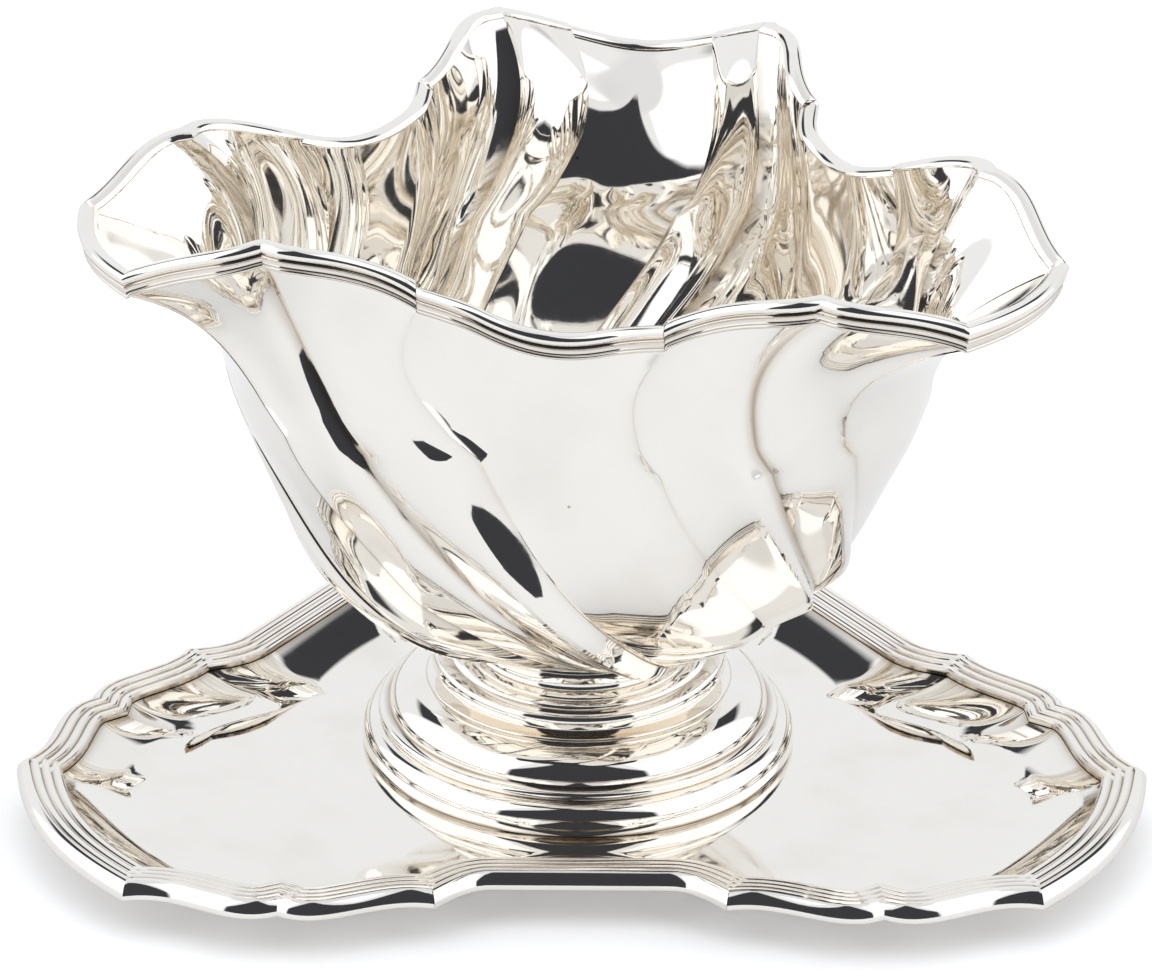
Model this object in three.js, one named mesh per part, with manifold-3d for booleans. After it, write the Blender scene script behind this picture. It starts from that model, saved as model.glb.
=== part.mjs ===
// A silver sauce boat fixed on its own stand. The boat is a three-lobed bowl with twisted flutes
// and a reeded border, on a short neck, a collar and a stepped round foot. The stand is a
// three-lobed tray with the same border. The frame stands on the tray's flat base: origin on the
// axis of the foot, +Z up, millimetres and degrees. The front of the boat looks towards -Y.

import * as THREE from "three";
import { mergeVertices } from "three/addons/utils/BufferGeometryUtils.js";
import Module from "manifold-3d";

const wasm = await Module();
wasm.setup();

// Sheet and solder
const solderGap = 0.3;
const bowlWall = 1;
const traySheet = 1.1;
const footWall = 1.2;

// The three lobes, as bearings counter-clockwise from +X: front left, front right, back
const lobeBearings = [210, 330, 90];
const lobeNames = ["left_lobe", "right_lobe", "back_lobe"];
const sideNames = ["front_side", "right_side", "left_side"];

// Tray outline: each half lobe has a tip, a notch and a corner, from its nose to the side. Notches
// and corners lie in from the tips' radius.
const trayTipRadius = 105;
const trayTipAngle = 13.9;
const trayNotchInset = 13.2;
const trayNotchAngle = 27.2;
const trayCornerInset = 26.6;
const trayCornerAngle = 42.2;
const trayRimHeight = 10.3;
const trayTurn = 0.5;
const traySideStep = 6.2;
const traySideStepLength = 9;

// Bowl outline, and how far its wavy rim rises above the tips at notches, corners and sides
const bowlTipRadius = 85.8;
const bowlTipAngle = 11.2;
const bowlTipHeight = 111.5;
const bowlNotchInset = 15.7;
const bowlNotchAngle = 23.5;
const bowlNotchRise = 8.5;
const bowlCornerInset = 29.3;
const bowlCornerAngle = 41.8;
const bowlCornerRise = 1;
const bowlSideRise = -3;
const bowlSideStep = 4;
const bowlSideStepLength = 9;
const bowlRimArch = 1.8;

// What hand work left in the outlines, lobe by lobe: turns, longer tips, and how far the bowl's
// rim droops below its heights, at each lobe's first and second notch and corner, nose and side
const bowlLobeTurns = [-1.9, 2.1, -0.2];
const trayLobeReach = [0, 1.2, 0];
const notchDroop = [[1.3, 1.3], [4.8, 0], [0, 0]];
const cornerDroop = [[0.5, 0.5], [4.5, 0], [-0.5, 0]];
const noseDroop = [0, 0, 3.5];
const sideDroop = [4.9, 0, 0];

// How the boat stands on its foot: turned against the tray and leaning a little to the front
const boatTurn = -7.6;
const boatLean = 4.2;

// Bends of the border between its points, as angles against the straight line between them
const trayTipDip = 25;
const bowlTipDip = 12;
const notchSwell = 34;
const cornerDip = 22;
const noseSwell = 18;
const bendHandle = 0.38;

// Bowl body: a round bowl below its waist, whose wall tapers more than a ball's would. Above, it is
// pulled out late into the lobes, and drawn in between them, soonest in the middle of each side.
const bodyRadius = 60.6;
const bodyDepth = 55.5;
const bodyFullness = 2.3;
const bodyTaper = 3.4;
const bodyTaperRise = 1.25;
const waistLevel = 0.6;
const flareStart = 44;
const noseFlare = 6.5;
const cornerFlare = 1.15;
const sideFlare = 2.2;
const flareBlend = 4;

// Flutes: one panel under each bend of the rim, with a crease between each two. The creases turn a
// little against the twist under the rim, wind round below, and spread away from their lobes.
const fluteDepths = { corner: 3.6, notch: 2.6, nose: 1.2, side: 1.5 };
const fluteLow = 0.6;
const fluteRound = 0.75;
const fluteTwist = 56;
const fluteTwistEase = 1.15;
const fluteCounterTurn = 2.5;
const straightLevel = 0.74;
const cornerSpread = 8.5;
const notchSpread = 10;
const tipSpread = 6.5;
const spreadReach = 0.42;

// Borders
const bowlBorderDepth = 3.4;
const bowlBorderTaper = 0.9;
const bowlBorderOverhang = 1.6;
const bowlReeds = 2;
const bowlReedDepth = 0.5;
const bowlRollHeight = 1.1;
const bowlRollLap = 0.7;
const trayBorderEdge = 3.1;
const trayEdgeRound = 0.4;
const trayOvolo = 2.3;
const trayBorderWidth = 8;
const trayBorderFall = 1.1;
const trayBorderOverhang = 1.4;
const trayBorderSeat = 2;
const trayReeds = 3;
const trayReedDepth = 0.5;

// Tray: the flat well and the cavetto round it, with a scoop under each bend of the border and a
// ridge under each of its points. A hollow of 0 is a straight slope, and 1 runs out level.
const cavettoWidth = 15;
const cavettoShares = [1, 0.5, 0.15, 0];
const radialShare = 0.55;
const ridgeReach = 0.72;
const ridgeHollow = 0.15;
const scoopHollow = 0.8;
const scoopRound = 0.6;

// Foot, collar and neck
const lowerTierRadius = 40.8;
const lowerTierHeight = 5.2;
const lowerTierToe = 0.5;
const tierLap = 3.7;
const upperTierRadius = 37.7;
const upperTierHeight = 7.4;
const upperTierBead = 1.8;
const domeInset = 2.1;
const crownRadius = 28.5;
const collarRadius = 27.6;
const collarEdge = 2.7;
const collarEdgeRound = 0.8;
const collarRise = 3.2;
const collarCove = 3.2;
const collarCoveHeight = 1.2;
const collarTopRise = 1.3;
const neckRadius = 19.7;
const neckHeight = 6.1;
const neckToe = 0.7;
const neckBead = 1.5;
const neckBeadHeight = 1.1;
const neckWall = 3;
const ringLap = 2;

// How finely the forms are divided
const roundSteps = 40;
const mouldingSteps = 3;
const wallRings = 12;
const segmentSteps = { corner: 4, notch: 3, nose: 6, side: 8 };

const silver = new THREE.MeshStandardMaterial({ color: 0xd9d6cf, roughness: 0.12, metalness: 1 });
const { degToRad: radians, lerp, clamp, smoothstep } = THREE.MathUtils;
const quarterTurn = Math.PI / 2;

function polar(radius, bearing) {
  const angle = radians(bearing);
  return new THREE.Vector2(radius * Math.cos(angle), radius * Math.sin(angle));
}

// A border's bend from a to b. The angles turn its ends in (plus) or out (minus) against the chord.
function bend(a, b, leave, reach) {
  const chord = b.clone().sub(a);
  const handle = chord.length() * bendHandle;
  const out = chord.clone().normalize().rotateAround(new THREE.Vector2(), radians(leave));
  const home = chord.clone().normalize().rotateAround(new THREE.Vector2(), radians(reach));
  const curve = new THREE.CubicBezierCurve(
    a,
    a.clone().addScaledVector(out, handle),
    b.clone().addScaledVector(home, -handle),
    b,
  );
  return (s) => curve.getPoint(s);
}

// The low stretch between two lobes: a step inwards at each end and a level run between
function sideRun(a, b, step, stepLength) {
  const chord = b.clone().sub(a);
  const length = chord.length();
  const inwards = new THREE.Vector2(-chord.y, chord.x).divideScalar(length);
  return (s) => {
    const nearest = Math.min(s, 1 - s) * length;
    const eased = Math.sin(quarterTurn * Math.min(1, nearest / stepLength));
    return a.clone().addScaledVector(chord, s).addScaledVector(inwards, step * eased);
  };
}

// The bends of one lobe and of the side after it, in order. Each has its kind, its curve in plan,
// the heights of its ends and its rise between them.
function lobeBends(shape, lobe) {
  const next = (lobe + 1) % lobeBearings.length;
  const axis = lobeBearings[lobe] + shape.turn + shape.lobeTurns[lobe];
  const nextAxis = lobeBearings[next] + shape.turn + shape.lobeTurns[next];
  const pair = (radius, angle) => [polar(radius, axis - angle), polar(radius, axis + angle)];
  const corners = pair(shape.tipRadius - shape.cornerInset, shape.cornerAngle);
  const notches = pair(shape.tipRadius - shape.notchInset, shape.notchAngle);
  const tips = pair(shape.tipRadius + shape.lobeReach[lobe], shape.tipAngle);
  const nextCorner = polar(shape.tipRadius - shape.cornerInset, nextAxis - shape.cornerAngle);
  const { tipHeight, tipDip, arch } = shape;
  const cornerHeights = shape.cornerHeights[lobe];
  const notchHeights = shape.notchHeights[lobe];
  const nextHeight = shape.cornerHeights[next][0];
  const side = sideRun(corners[1], nextCorner, shape.sideStep, shape.sideStepLength);
  const sideRise = shape.sideHeights[lobe] - (cornerHeights[1] + nextHeight) / 2;
  return [
    ["corner", bend(corners[0], notches[0], cornerDip, notchSwell), cornerHeights[0], notchHeights[0], arch],
    ["notch", bend(notches[0], tips[0], -notchSwell, -tipDip), notchHeights[0], tipHeight, arch / 2],
    ["nose", bend(tips[0], tips[1], -noseSwell, noseSwell), tipHeight, tipHeight, shape.noseRises[lobe]],
    ["notch", bend(tips[1], notches[1], tipDip, notchSwell), tipHeight, notchHeights[1], arch / 2],
    ["corner", bend(notches[1], corners[1], -notchSwell, -cornerDip), notchHeights[1], cornerHeights[1], arch],
    ["side", side, cornerHeights[1], nextHeight, sideRise],
  ];
}

// The stations of a closed three-lobed outline, counter-clockwise from the left lobe's first
// corner. Each has its bend, its place along it, its point, its height and its outward normal.
function outline(shape) {
  const stations = [];
  lobeBearings.forEach((_, lobe) => {
    lobeBends(shape, lobe).forEach(([kind, place, from, to, rise], bendNumber) => {
      for (let i = 0; i < segmentSteps[kind]; i++) {
        const s = i / segmentSteps[kind];
        const height = from + (to - from) * s + rise * Math.sin(Math.PI * s);
        stations.push({ kind, lobe, bendNumber, s, place, point: place(s), height });
      }
    });
  });
  return withNormals(stations);
}

function outwardNormal(place, s) {
  const reach = 0.002;
  const along = place(Math.min(1, s + reach)).sub(place(Math.max(0, s - reach))).normalize();
  return new THREE.Vector2(along.y, -along.x);
}

// Where two bends meet in a cusp, the normal halves the angle between them, and mitre is its stretch
function withNormals(stations) {
  const sharpestMitre = 0.5;
  stations.forEach((station, i) => {
    const before = stations[(i - 1 + stations.length) % stations.length];
    const own = outwardNormal(station.place, station.s);
    const other = station.s === 0 ? outwardNormal(before.place, 1) : own;
    station.normal = own.clone().add(other).normalize();
    station.mitre = 1 / Math.max(sharpestMitre, station.normal.dot(own));
  });
  return stations;
}

// The point that lies out from a station across its outline, and up from its height
function across(station, out, up) {
  const plan = station.point.clone().addScaledVector(station.normal, out * station.mitre);
  return new THREE.Vector3(plan.x, plan.y, station.height + up);
}

// A skin over closed rings of points, each with as many points. A single point closes an end.
function loft(rings) {
  const points = [];
  const starts = rings.map((ring) => {
    const start = points.length / 3;
    ring.forEach((point) => points.push(point.x, point.y, point.z));
    return start;
  });
  const corner = (i, n) => starts[i] + (rings[i].length === 1 ? 0 : n);
  const faces = [];
  for (let i = 0; i < rings.length - 1; i++) {
    const around = Math.max(rings[i].length, rings[i + 1].length);
    for (let k = 0; k < around; k++) {
      const l = (k + 1) % around;
      if (rings[i].length > 1) faces.push(corner(i, k), corner(i, l), corner(i + 1, l));
      if (rings[i + 1].length > 1) faces.push(corner(i, k), corner(i + 1, l), corner(i + 1, k));
    }
  }
  const geometry = new THREE.BufferGeometry();
  geometry.setAttribute("position", new THREE.Float32BufferAttribute(points, 3));
  geometry.setIndex(faces);
  geometry.computeVertexNormals();
  return geometry;
}

// A length of border: one section swept along its stations, with a flat cap at each mitred end.
// The section's points run from its back round its foot, its face and its top.
function sweepBorder(stations, facePoints) {
  const section = [...facePoints].reverse();
  const rings = stations.map((station) => section.map(([out, up]) => across(station, out, up)));
  const shrink = (end, inner) => {
    const along = inner[0].clone().sub(end[0]).setLength(solderGap / 2);
    end.forEach((point) => point.add(along));
  };
  shrink(rings[0], rings[1]);
  shrink(rings[rings.length - 1], rings[rings.length - 2]);
  const geometry = loft(rings);
  const contour = section.map(([out, up]) => new THREE.Vector2(out, up));
  const lastRing = (rings.length - 1) * section.length;
  const faces = Array.from(geometry.index.array);
  THREE.ShapeUtils.triangulateShape(contour, []).forEach(([a, b, c]) => {
    faces.push(a, b, c);
    faces.push(lastRing + a, lastRing + c, lastRing + b);
  });
  geometry.setIndex(faces);
  return geometry;
}

// The stations of one border length, from one mitred corner to the next
function borderStations(stations, lobe, isSide) {
  const own = stations.filter((s) => s.lobe === lobe && (s.kind === "side") === isSide);
  const last = stations.indexOf(own[own.length - 1]);
  return [...own, stations[(last + 1) % stations.length]];
}

// A ring turned about the axis, from a closed profile of [radius, height] pairs
function turned(profile) {
  const points = [...profile, profile[0]].map(([radius, height]) => new THREE.Vector2(radius, height));
  return new THREE.LatheGeometry(points, roundSteps).rotateX(quarterTurn);
}

// A quarter round of a moulding from a to b, without a. It leaves a along the radius or the height.
function quarterRound(a, b, leavesAlongRadius) {
  const points = [];
  for (let i = 1; i <= mouldingSteps; i++) {
    const turn = (quarterTurn * i) / mouldingSteps;
    const shares = [Math.sin(turn), 1 - Math.cos(turn)];
    const [radial, axial] = leavesAlongRadius ? shares : [...shares].reverse();
    points.push([a[0] + (b[0] - a[0]) * radial, a[1] + (b[1] - a[1]) * axial]);
  }
  return points;
}

// A reeded face along a straight line: reeds on the line, and grooves sunk to its left between them
function reeded(from, to, reeds, depth) {
  const line = [to[0] - from[0], to[1] - from[1]];
  const length = Math.hypot(...line);
  const steps = 2 * reeds;
  return Array.from({ length: steps + 1 }, (_, i) => {
    const sunk = i % 2 === 1 ? depth / length : 0;
    return [
      from[0] + (line[0] * i) / steps - line[1] * sunk,
      from[1] + (line[1] * i) / steps + line[0] * sunk,
    ];
  });
}

function toSolid(geometry) {
  const bare = geometry.clone();
  bare.deleteAttribute("normal");
  bare.deleteAttribute("uv");
  const mergeDistance = 1e-4;
  const merged = mergeVertices(bare, mergeDistance);
  const mesh = new wasm.Mesh({
    numProp: 3,
    vertProperties: new Float32Array(merged.attributes.position.array),
    triVerts: new Uint32Array(merged.index.array),
  });
  return new wasm.Manifold(mesh);
}

function fromSolid(solid) {
  const mesh = solid.getMesh();
  const geometry = new THREE.BufferGeometry();
  geometry.setAttribute("position", new THREE.Float32BufferAttribute(mesh.vertProperties, 3));
  geometry.setIndex(Array.from(mesh.triVerts));
  geometry.computeVertexNormals();
  return geometry;
}

function named(name, geometry) {
  const mesh = new THREE.Mesh(geometry, silver.clone());
  mesh.name = name;
  return mesh;
}

const everyLobe = (value) => lobeBearings.map(() => value);

const trayOutline = outline({
  tipRadius: trayTipRadius,
  tipAngle: trayTipAngle,
  tipHeight: trayRimHeight,
  tipDip: trayTipDip,
  arch: 0,
  noseRises: everyLobe(0),
  notchInset: trayNotchInset,
  notchAngle: trayNotchAngle,
  notchHeights: everyLobe([trayRimHeight, trayRimHeight]),
  cornerInset: trayCornerInset,
  cornerAngle: trayCornerAngle,
  cornerHeights: everyLobe([trayRimHeight, trayRimHeight]),
  sideHeights: everyLobe(trayRimHeight),
  sideStep: traySideStep,
  sideStepLength: traySideStepLength,
  turn: trayTurn,
  lobeTurns: everyLobe(0),
  lobeReach: trayLobeReach,
});

const bowlOutline = outline({
  tipRadius: bowlTipRadius,
  tipAngle: bowlTipAngle,
  tipHeight: bowlTipHeight,
  tipDip: bowlTipDip,
  arch: bowlRimArch,
  noseRises: noseDroop.map((droop) => -droop),
  notchInset: bowlNotchInset,
  notchAngle: bowlNotchAngle,
  notchHeights: notchDroop.map((pair) => pair.map((droop) => bowlTipHeight + bowlNotchRise - droop)),
  cornerInset: bowlCornerInset,
  cornerAngle: bowlCornerAngle,
  cornerHeights: cornerDroop.map((pair) => pair.map((droop) => bowlTipHeight + bowlCornerRise - droop)),
  sideHeights: sideDroop.map((droop) => bowlTipHeight + bowlSideRise - droop),
  sideStep: bowlSideStep,
  sideStepLength: bowlSideStepLength,
  turn: boatTurn,
  lobeTurns: bowlLobeTurns,
  lobeReach: everyLobe(0),
});

// Heights at which the turned pieces stand on each other, from the tray's well up
const lowerTierBase = traySheet + solderGap;
const lowerTierTop = lowerTierBase + lowerTierHeight;
const upperTierBase = lowerTierTop + solderGap;
const domeTop = upperTierBase + upperTierHeight;
const collarLow = domeTop + collarRise;
const collarLip = collarLow + collarEdge;
const collarTop = collarLip + collarTopRise;
const neckBase = collarTop + solderGap;
const neckTopRadius = neckRadius + neckBead;
const neckBore = neckRadius - neckWall;
const tierBore = neckBore - ringLap;
const neckTop = neckBase + neckHeight;
const bodySeat = neckTop + solderGap;
const seatShare = (neckTopRadius / bodyRadius) ** bodyFullness;
const bodyWaistHeight = bodySeat + bodyDepth * (1 - seatShare) ** (1 / bodyFullness);

// Radius and height of the round bowl's skin at a level, which is 0 at its seat on the neck
function roundSkin(level, inset) {
  const power = 2 / bodyFullness;
  const radius = bodyRadius - inset;
  const seat = Math.asin(((neckTopRadius - inset) / radius) ** (1 / power));
  const turn = seat + (quarterTurn - seat) * Math.min(1, level / waistLevel);
  const height = bodyWaistHeight - (bodyDepth - inset) * Math.max(0, Math.cos(turn)) ** power;
  const lift = clamp((height - bodySeat) / (bodyWaistHeight - bodySeat), 0, 1);
  const taper = bodyTaper * Math.sin(Math.PI * lift ** bodyTaperRise) ** 2;
  return { radius: radius * Math.sin(turn) ** power - taper, height };
}

// How far the spread turns the creases at both ends of each bend of a lobe
const bendSpreads = [
  [-cornerSpread, -notchSpread],
  [-notchSpread, -tipSpread],
  [-tipSpread, tipSpread],
  [tipSpread, notchSpread],
  [notchSpread, cornerSpread],
  [cornerSpread, -cornerSpread],
];

// How far a station's place on the wall is turned from its place on the rim, in degrees
function fluteTurn(station, level) {
  const wound = Math.max(0, 1 - level / straightLevel) ** fluteTwistEase;
  const above = Math.max(0, (level - straightLevel) / (1 - straightLevel));
  const counter = Math.sin(Math.PI * above);
  const spread = lerp(...bendSpreads[station.bendNumber], station.s);
  return fluteTwist * wound - fluteCounterTurn * counter + spread * smoothstep(1 - level, 0, spreadReach);
}

// How far the wall stands out from the round bowl under a point of the rim. Lift is the height's
// share of the whole wall.
function flare(station, rim, reach, height) {
  const climb = clamp((height - flareStart) / (rim.z - flareStart), 0, 1);
  const lift = clamp((height - bodySeat) / (rim.z - bodySeat), 0, 1);
  const middle = station.kind === "side" ? Math.sin(Math.PI * station.s) ** fluteRound : 0;
  const drawn = lerp(climb ** cornerFlare, 1 - (1 - lift) ** sideFlare, middle);
  const blend = Math.hypot(reach, flareBlend);
  return ((reach + blend) / 2) * climb ** noseFlare + ((reach - blend) / 2) * drawn;
}

// One ring of the bowl's skin, from its seat (level 0) to the border (level 1). Inset is how far
// the skin lies inside the bowl's outside.
function wallRing(level, inset) {
  const skin = roundSkin(level, inset);
  const rise = Math.max(0, (level - waistLevel) / (1 - waistLevel));
  const fade = Math.sin(Math.PI * level ** fluteLow);
  return bowlOutline.map((station) => {
    const rim = across(station, -bowlBorderOverhang - solderGap - inset, -bowlBorderDepth);
    const height = skin.height + (rim.z - bodyWaistHeight) * rise;
    const reach = Math.hypot(rim.x, rim.y) - (bodyRadius - inset);
    const panel = fade * fluteDepths[station.kind] * Math.sin(Math.PI * station.s) ** fluteRound;
    const radius = skin.radius + flare(station, rim, reach, height) + panel;
    const bearing = Math.atan2(rim.y, rim.x) + radians(fluteTurn(station, level));
    return new THREE.Vector3(radius * Math.cos(bearing), radius * Math.sin(bearing), height);
  });
}

// The bowl is one raised sheet: its flat seat, the fluted wall and a hem that the border covers
function makeBowlBody() {
  const outside = [];
  const inside = [];
  for (let i = 0; i < wallRings; i++) {
    const level = i / (wallRings - 1);
    outside.push(wallRing(level, 0));
    inside.unshift(wallRing(level, bowlWall));
  }
  const hem = (inset) =>
    bowlOutline.map((s) => across(s, -bowlBorderOverhang - solderGap - inset, -solderGap));
  const bottom = [new THREE.Vector3(0, 0, outside[0][0].z)];
  const floor = [new THREE.Vector3(0, 0, inside[wallRings - 1][0].z)];
  return loft([bottom, ...outside, hem(0), hem(bowlWall), ...inside, floor]);
}

// Section of the bowl's border: a reeded face outside the sheet and a roll over the sheet's edge
function bowlBorderSection() {
  const back = -bowlBorderOverhang;
  const inner = back - 2 * solderGap - bowlWall - bowlRollLap;
  const middle = inner / 2;
  return [
    [back, -bowlBorderDepth],
    ...reeded([-bowlBorderTaper, -bowlBorderDepth], [0, 0], bowlReeds, bowlReedDepth),
    ...quarterRound([0, 0], [middle, bowlRollHeight], false),
    [inner, 0],
    [back, 0],
  ];
}

// Section of the tray's border: a low edge, an ovolo and reeds that fall inwards over the sheet
function trayBorderSection() {
  const back = -trayBorderOverhang;
  const inner = -trayBorderWidth;
  const edge = [0, trayEdgeRound - trayBorderEdge];
  const reedsStart = [-trayOvolo, 0];
  return [
    [back, -trayBorderEdge],
    [-trayEdgeRound, -trayBorderEdge],
    edge,
    ...quarterRound(edge, reedsStart, false),
    ...reeded(reedsStart, [inner, -trayBorderFall], trayReeds, trayReedDepth).slice(1),
    [inner, -trayBorderSeat],
    [back, -trayBorderSeat],
  ];
}

// One ring of the tray's cavetto, at a share of its width from the border (0) to the well (1). It
// follows the border at first, and the outline's middle from the radial share on.
function cavettoRing(share, flange) {
  const back = trayBorderWidth + cavettoWidth * share;
  return trayOutline.map((station) => {
    const point = across(station, -back, 0);
    const radial = station.point.clone().setLength(station.point.length() - back);
    point.lerp(new THREE.Vector3(radial.x, radial.y, point.z), Math.min(1, share / radialShare));
    const scoop = Math.sin(Math.PI * station.s) ** scoopRound;
    const run = Math.min(1, share / lerp(ridgeReach, 1, scoop));
    const hollow = 1 - run * lerp(ridgeHollow, scoopHollow, scoop);
    point.z = lerp(traySheet, flange, (1 - run) * hollow);
    return point;
  });
}

// The tray is one dished sheet: a flat well, a scooped cavetto and a level flange for the border
function makeTrayBody() {
  const flange = trayRimHeight - trayBorderSeat - solderGap;
  const flangeEdge = trayOutline.map((station) => {
    const point = across(station, -trayBorderOverhang - solderGap, 0);
    return point.setZ(flange);
  });
  const tops = [...cavettoShares.map((share) => cavettoRing(share, flange)), flangeEdge];
  const unders = tops.map((ring) => ring.map((p) => new THREE.Vector3(p.x, p.y, p.z - traySheet)));
  const middle = (height) => [new THREE.Vector3(0, 0, height)];
  return loft([middle(0), ...unders, ...tops.reverse(), middle(traySheet)]);
}

// The lower tier is a hollow swelling ring with a lip that goes in under the upper tier
function makeLowerTier() {
  const swell = [lowerTierRadius, lowerTierBase + 2 * lowerTierToe];
  const lip = upperTierRadius - tierLap;
  const innerTop = [upperTierRadius - footWall, lowerTierTop - footWall];
  const innerSwell = [lowerTierRadius - footWall, lowerTierBase];
  return turned([
    [lowerTierRadius - lowerTierToe, lowerTierBase],
    swell,
    ...quarterRound(swell, [upperTierRadius, lowerTierTop], false),
    [lip, lowerTierTop],
    [lip, lowerTierTop - footWall],
    innerTop,
    ...quarterRound(innerTop, innerSwell, true),
  ]);
}

// Outside of the upper tier's dome and crown
function domeOutside() {
  const foot = [upperTierRadius - domeInset, upperTierBase + upperTierBead];
  return [foot, ...quarterRound(foot, [crownRadius, domeTop], false), [tierBore, domeTop]];
}

function makeUpperTier() {
  const middle = upperTierBead / 2;
  const bead = [upperTierRadius, upperTierBase + middle];
  const beadFoot = [upperTierRadius - middle, upperTierBase];
  const beadTop = [upperTierRadius - middle, upperTierBase + upperTierBead];
  const inside = upperTierRadius - domeInset - footWall;
  const ceiling = [crownRadius - footWall, domeTop - footWall];
  return turned([
    beadFoot,
    ...quarterRound(beadFoot, bead, true),
    ...quarterRound(bead, beadTop, false),
    ...domeOutside(),
    [tierBore, domeTop - footWall],
    ceiling,
    ...quarterRound(ceiling, [inside, upperTierBase + upperTierBead], true),
    [inside, upperTierBase],
  ]);
}

// The collar is turned with a long foot, and that foot is cut to the level crown that it stands on
function makeCollar(boatFrame) {
  const foot = collarRadius - collarCove;
  const footLength = collarEdge;
  const coveFoot = [foot, collarLow - collarCoveHeight];
  const edge = [collarRadius, collarLow];
  const ovolo = [foot, collarLip];
  const collar = turned([
    [neckBore, domeTop - footLength],
    [foot, domeTop - footLength],
    coveFoot,
    ...quarterRound(coveFoot, edge, false),
    ...quarterRound(edge, [collarRadius - collarEdgeRound, collarLip], false),
    ovolo,
    ...quarterRound(ovolo, [neckTopRadius, collarTop], false),
    [neckBore, collarTop],
  ]);
  const raised = domeOutside().map(([radius, height]) => [radius, height + solderGap]);
  const seat = turned([[0, 0], [raised[0][0], 0], ...raised, [0, domeTop + solderGap]]);
  seat.applyMatrix4(boatFrame.clone().invert());
  return fromSolid(toSolid(collar).subtract(toSolid(seat)));
}

// The neck is a cast ring, drawn in between its toe and the bead that the bowl stands on
function makeNeck() {
  const bead = [neckTopRadius, neckTop - neckBeadHeight];
  const waist = [neckRadius, (neckBase + bead[1]) / 2];
  const toe = [neckRadius + neckToe, neckBase];
  return turned([
    [neckBore, neckBase],
    toe,
    ...quarterRound(toe, waist, true),
    ...quarterRound(waist, bead, false),
    [neckTopRadius, neckTop],
    [neckBore, neckTop],
  ]);
}

function addBorder(group, label, stations, section) {
  lobeBearings.forEach((_, lobe) => {
    const lobeLength = sweepBorder(borderStations(stations, lobe, false), section);
    const sideLength = sweepBorder(borderStations(stations, lobe, true), section);
    group.add(named(`${label}_${lobeNames[lobe]}`, lobeLength));
    group.add(named(`${label}_${sideNames[lobe]}`, sideLength));
  });
}

const stand = new THREE.Group();
stand.add(named("tray_body", makeTrayBody()));
stand.add(named("lower_foot_tier", makeLowerTier()));
stand.add(named("upper_foot_tier", makeUpperTier()));
addBorder(stand, "tray_border", trayOutline, trayBorderSection());

// The boat leans about the crown of the upper tier
const boat = new THREE.Group();
boat.position.set(0, 0, domeTop);
boat.rotation.x = radians(boatLean);
const boatParts = new THREE.Group();
boatParts.position.set(0, 0, -domeTop);
boat.add(boatParts);
boat.updateMatrixWorld(true);
boatParts.add(named("collar", makeCollar(boatParts.matrixWorld)));
boatParts.add(named("neck", makeNeck()));
boatParts.add(named("bowl_body", makeBowlBody()));
addBorder(boatParts, "bowl_border", bowlOutline, bowlBorderSection());

const sauceBoat = new THREE.Group();
sauceBoat.add(stand, boat);

export default sauceBoat;
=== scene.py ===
"""Looks of a silver sauce boat that is fixed on its own tray.

The boat is a three-lobed bowl with twisted flutes and a reeded border, on a neck, a collar and a
stepped round foot, and the foot stands on a lobed tray with the same border. Sizes are written in
millimetres and degrees as a silversmith would note them, and every mesh is made in metres.
"""

import logging
import math
from abc import ABC, abstractmethod
from collections.abc import Callable, Sequence
from dataclasses import dataclass, field, fields
from enum import Enum
from typing import ClassVar

import bpy
import numpy as np
from mathutils import Matrix, Vector


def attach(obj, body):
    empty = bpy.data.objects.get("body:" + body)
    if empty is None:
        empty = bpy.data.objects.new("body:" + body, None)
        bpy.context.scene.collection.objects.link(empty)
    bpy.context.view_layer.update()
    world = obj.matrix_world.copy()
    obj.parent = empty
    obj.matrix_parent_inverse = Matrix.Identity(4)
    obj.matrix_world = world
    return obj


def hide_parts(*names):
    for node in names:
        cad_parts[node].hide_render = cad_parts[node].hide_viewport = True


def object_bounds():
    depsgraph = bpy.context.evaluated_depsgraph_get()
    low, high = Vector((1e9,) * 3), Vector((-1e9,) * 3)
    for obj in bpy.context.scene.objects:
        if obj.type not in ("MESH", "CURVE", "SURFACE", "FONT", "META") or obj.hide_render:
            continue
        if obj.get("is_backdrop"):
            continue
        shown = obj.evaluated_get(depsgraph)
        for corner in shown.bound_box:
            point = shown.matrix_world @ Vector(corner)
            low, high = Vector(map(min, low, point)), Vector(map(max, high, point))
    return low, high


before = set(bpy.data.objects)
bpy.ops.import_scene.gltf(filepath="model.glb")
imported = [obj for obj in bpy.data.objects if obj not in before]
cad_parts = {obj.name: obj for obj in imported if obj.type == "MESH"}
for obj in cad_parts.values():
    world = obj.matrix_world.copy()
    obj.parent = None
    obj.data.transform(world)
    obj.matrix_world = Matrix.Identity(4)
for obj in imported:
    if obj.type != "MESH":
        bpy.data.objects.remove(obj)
cad_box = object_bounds()

MM = 0.001

# Sizes that several pieces share, in millimetres: the seam between two pieces that touch, the
# solder between a sheet and what it is fixed to, the tray's sheet, the height of the foot's
# crown, and the height of the neck's top.
SEAM = 0.05
SOLDER_GAP = 0.3
TRAY_SHEET = 1.1
CROWN_HEIGHT = 14.3
NECK_TOP = 27.9

LOBE_BEARINGS = (210.0, 330.0, 90.0)
LOBE_NAMES = ("left_lobe", "right_lobe", "back_lobe")
SIDE_NAMES = ("front_side", "right_side", "left_side")
log = logging.getLogger("sauce_boat")

Curve = Callable[[np.ndarray], np.ndarray]


class Slot(Enum):
    """Material slots of the record."""

    BRIGHT = "bright_silver"
    BORDER = "border_silver"


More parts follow.
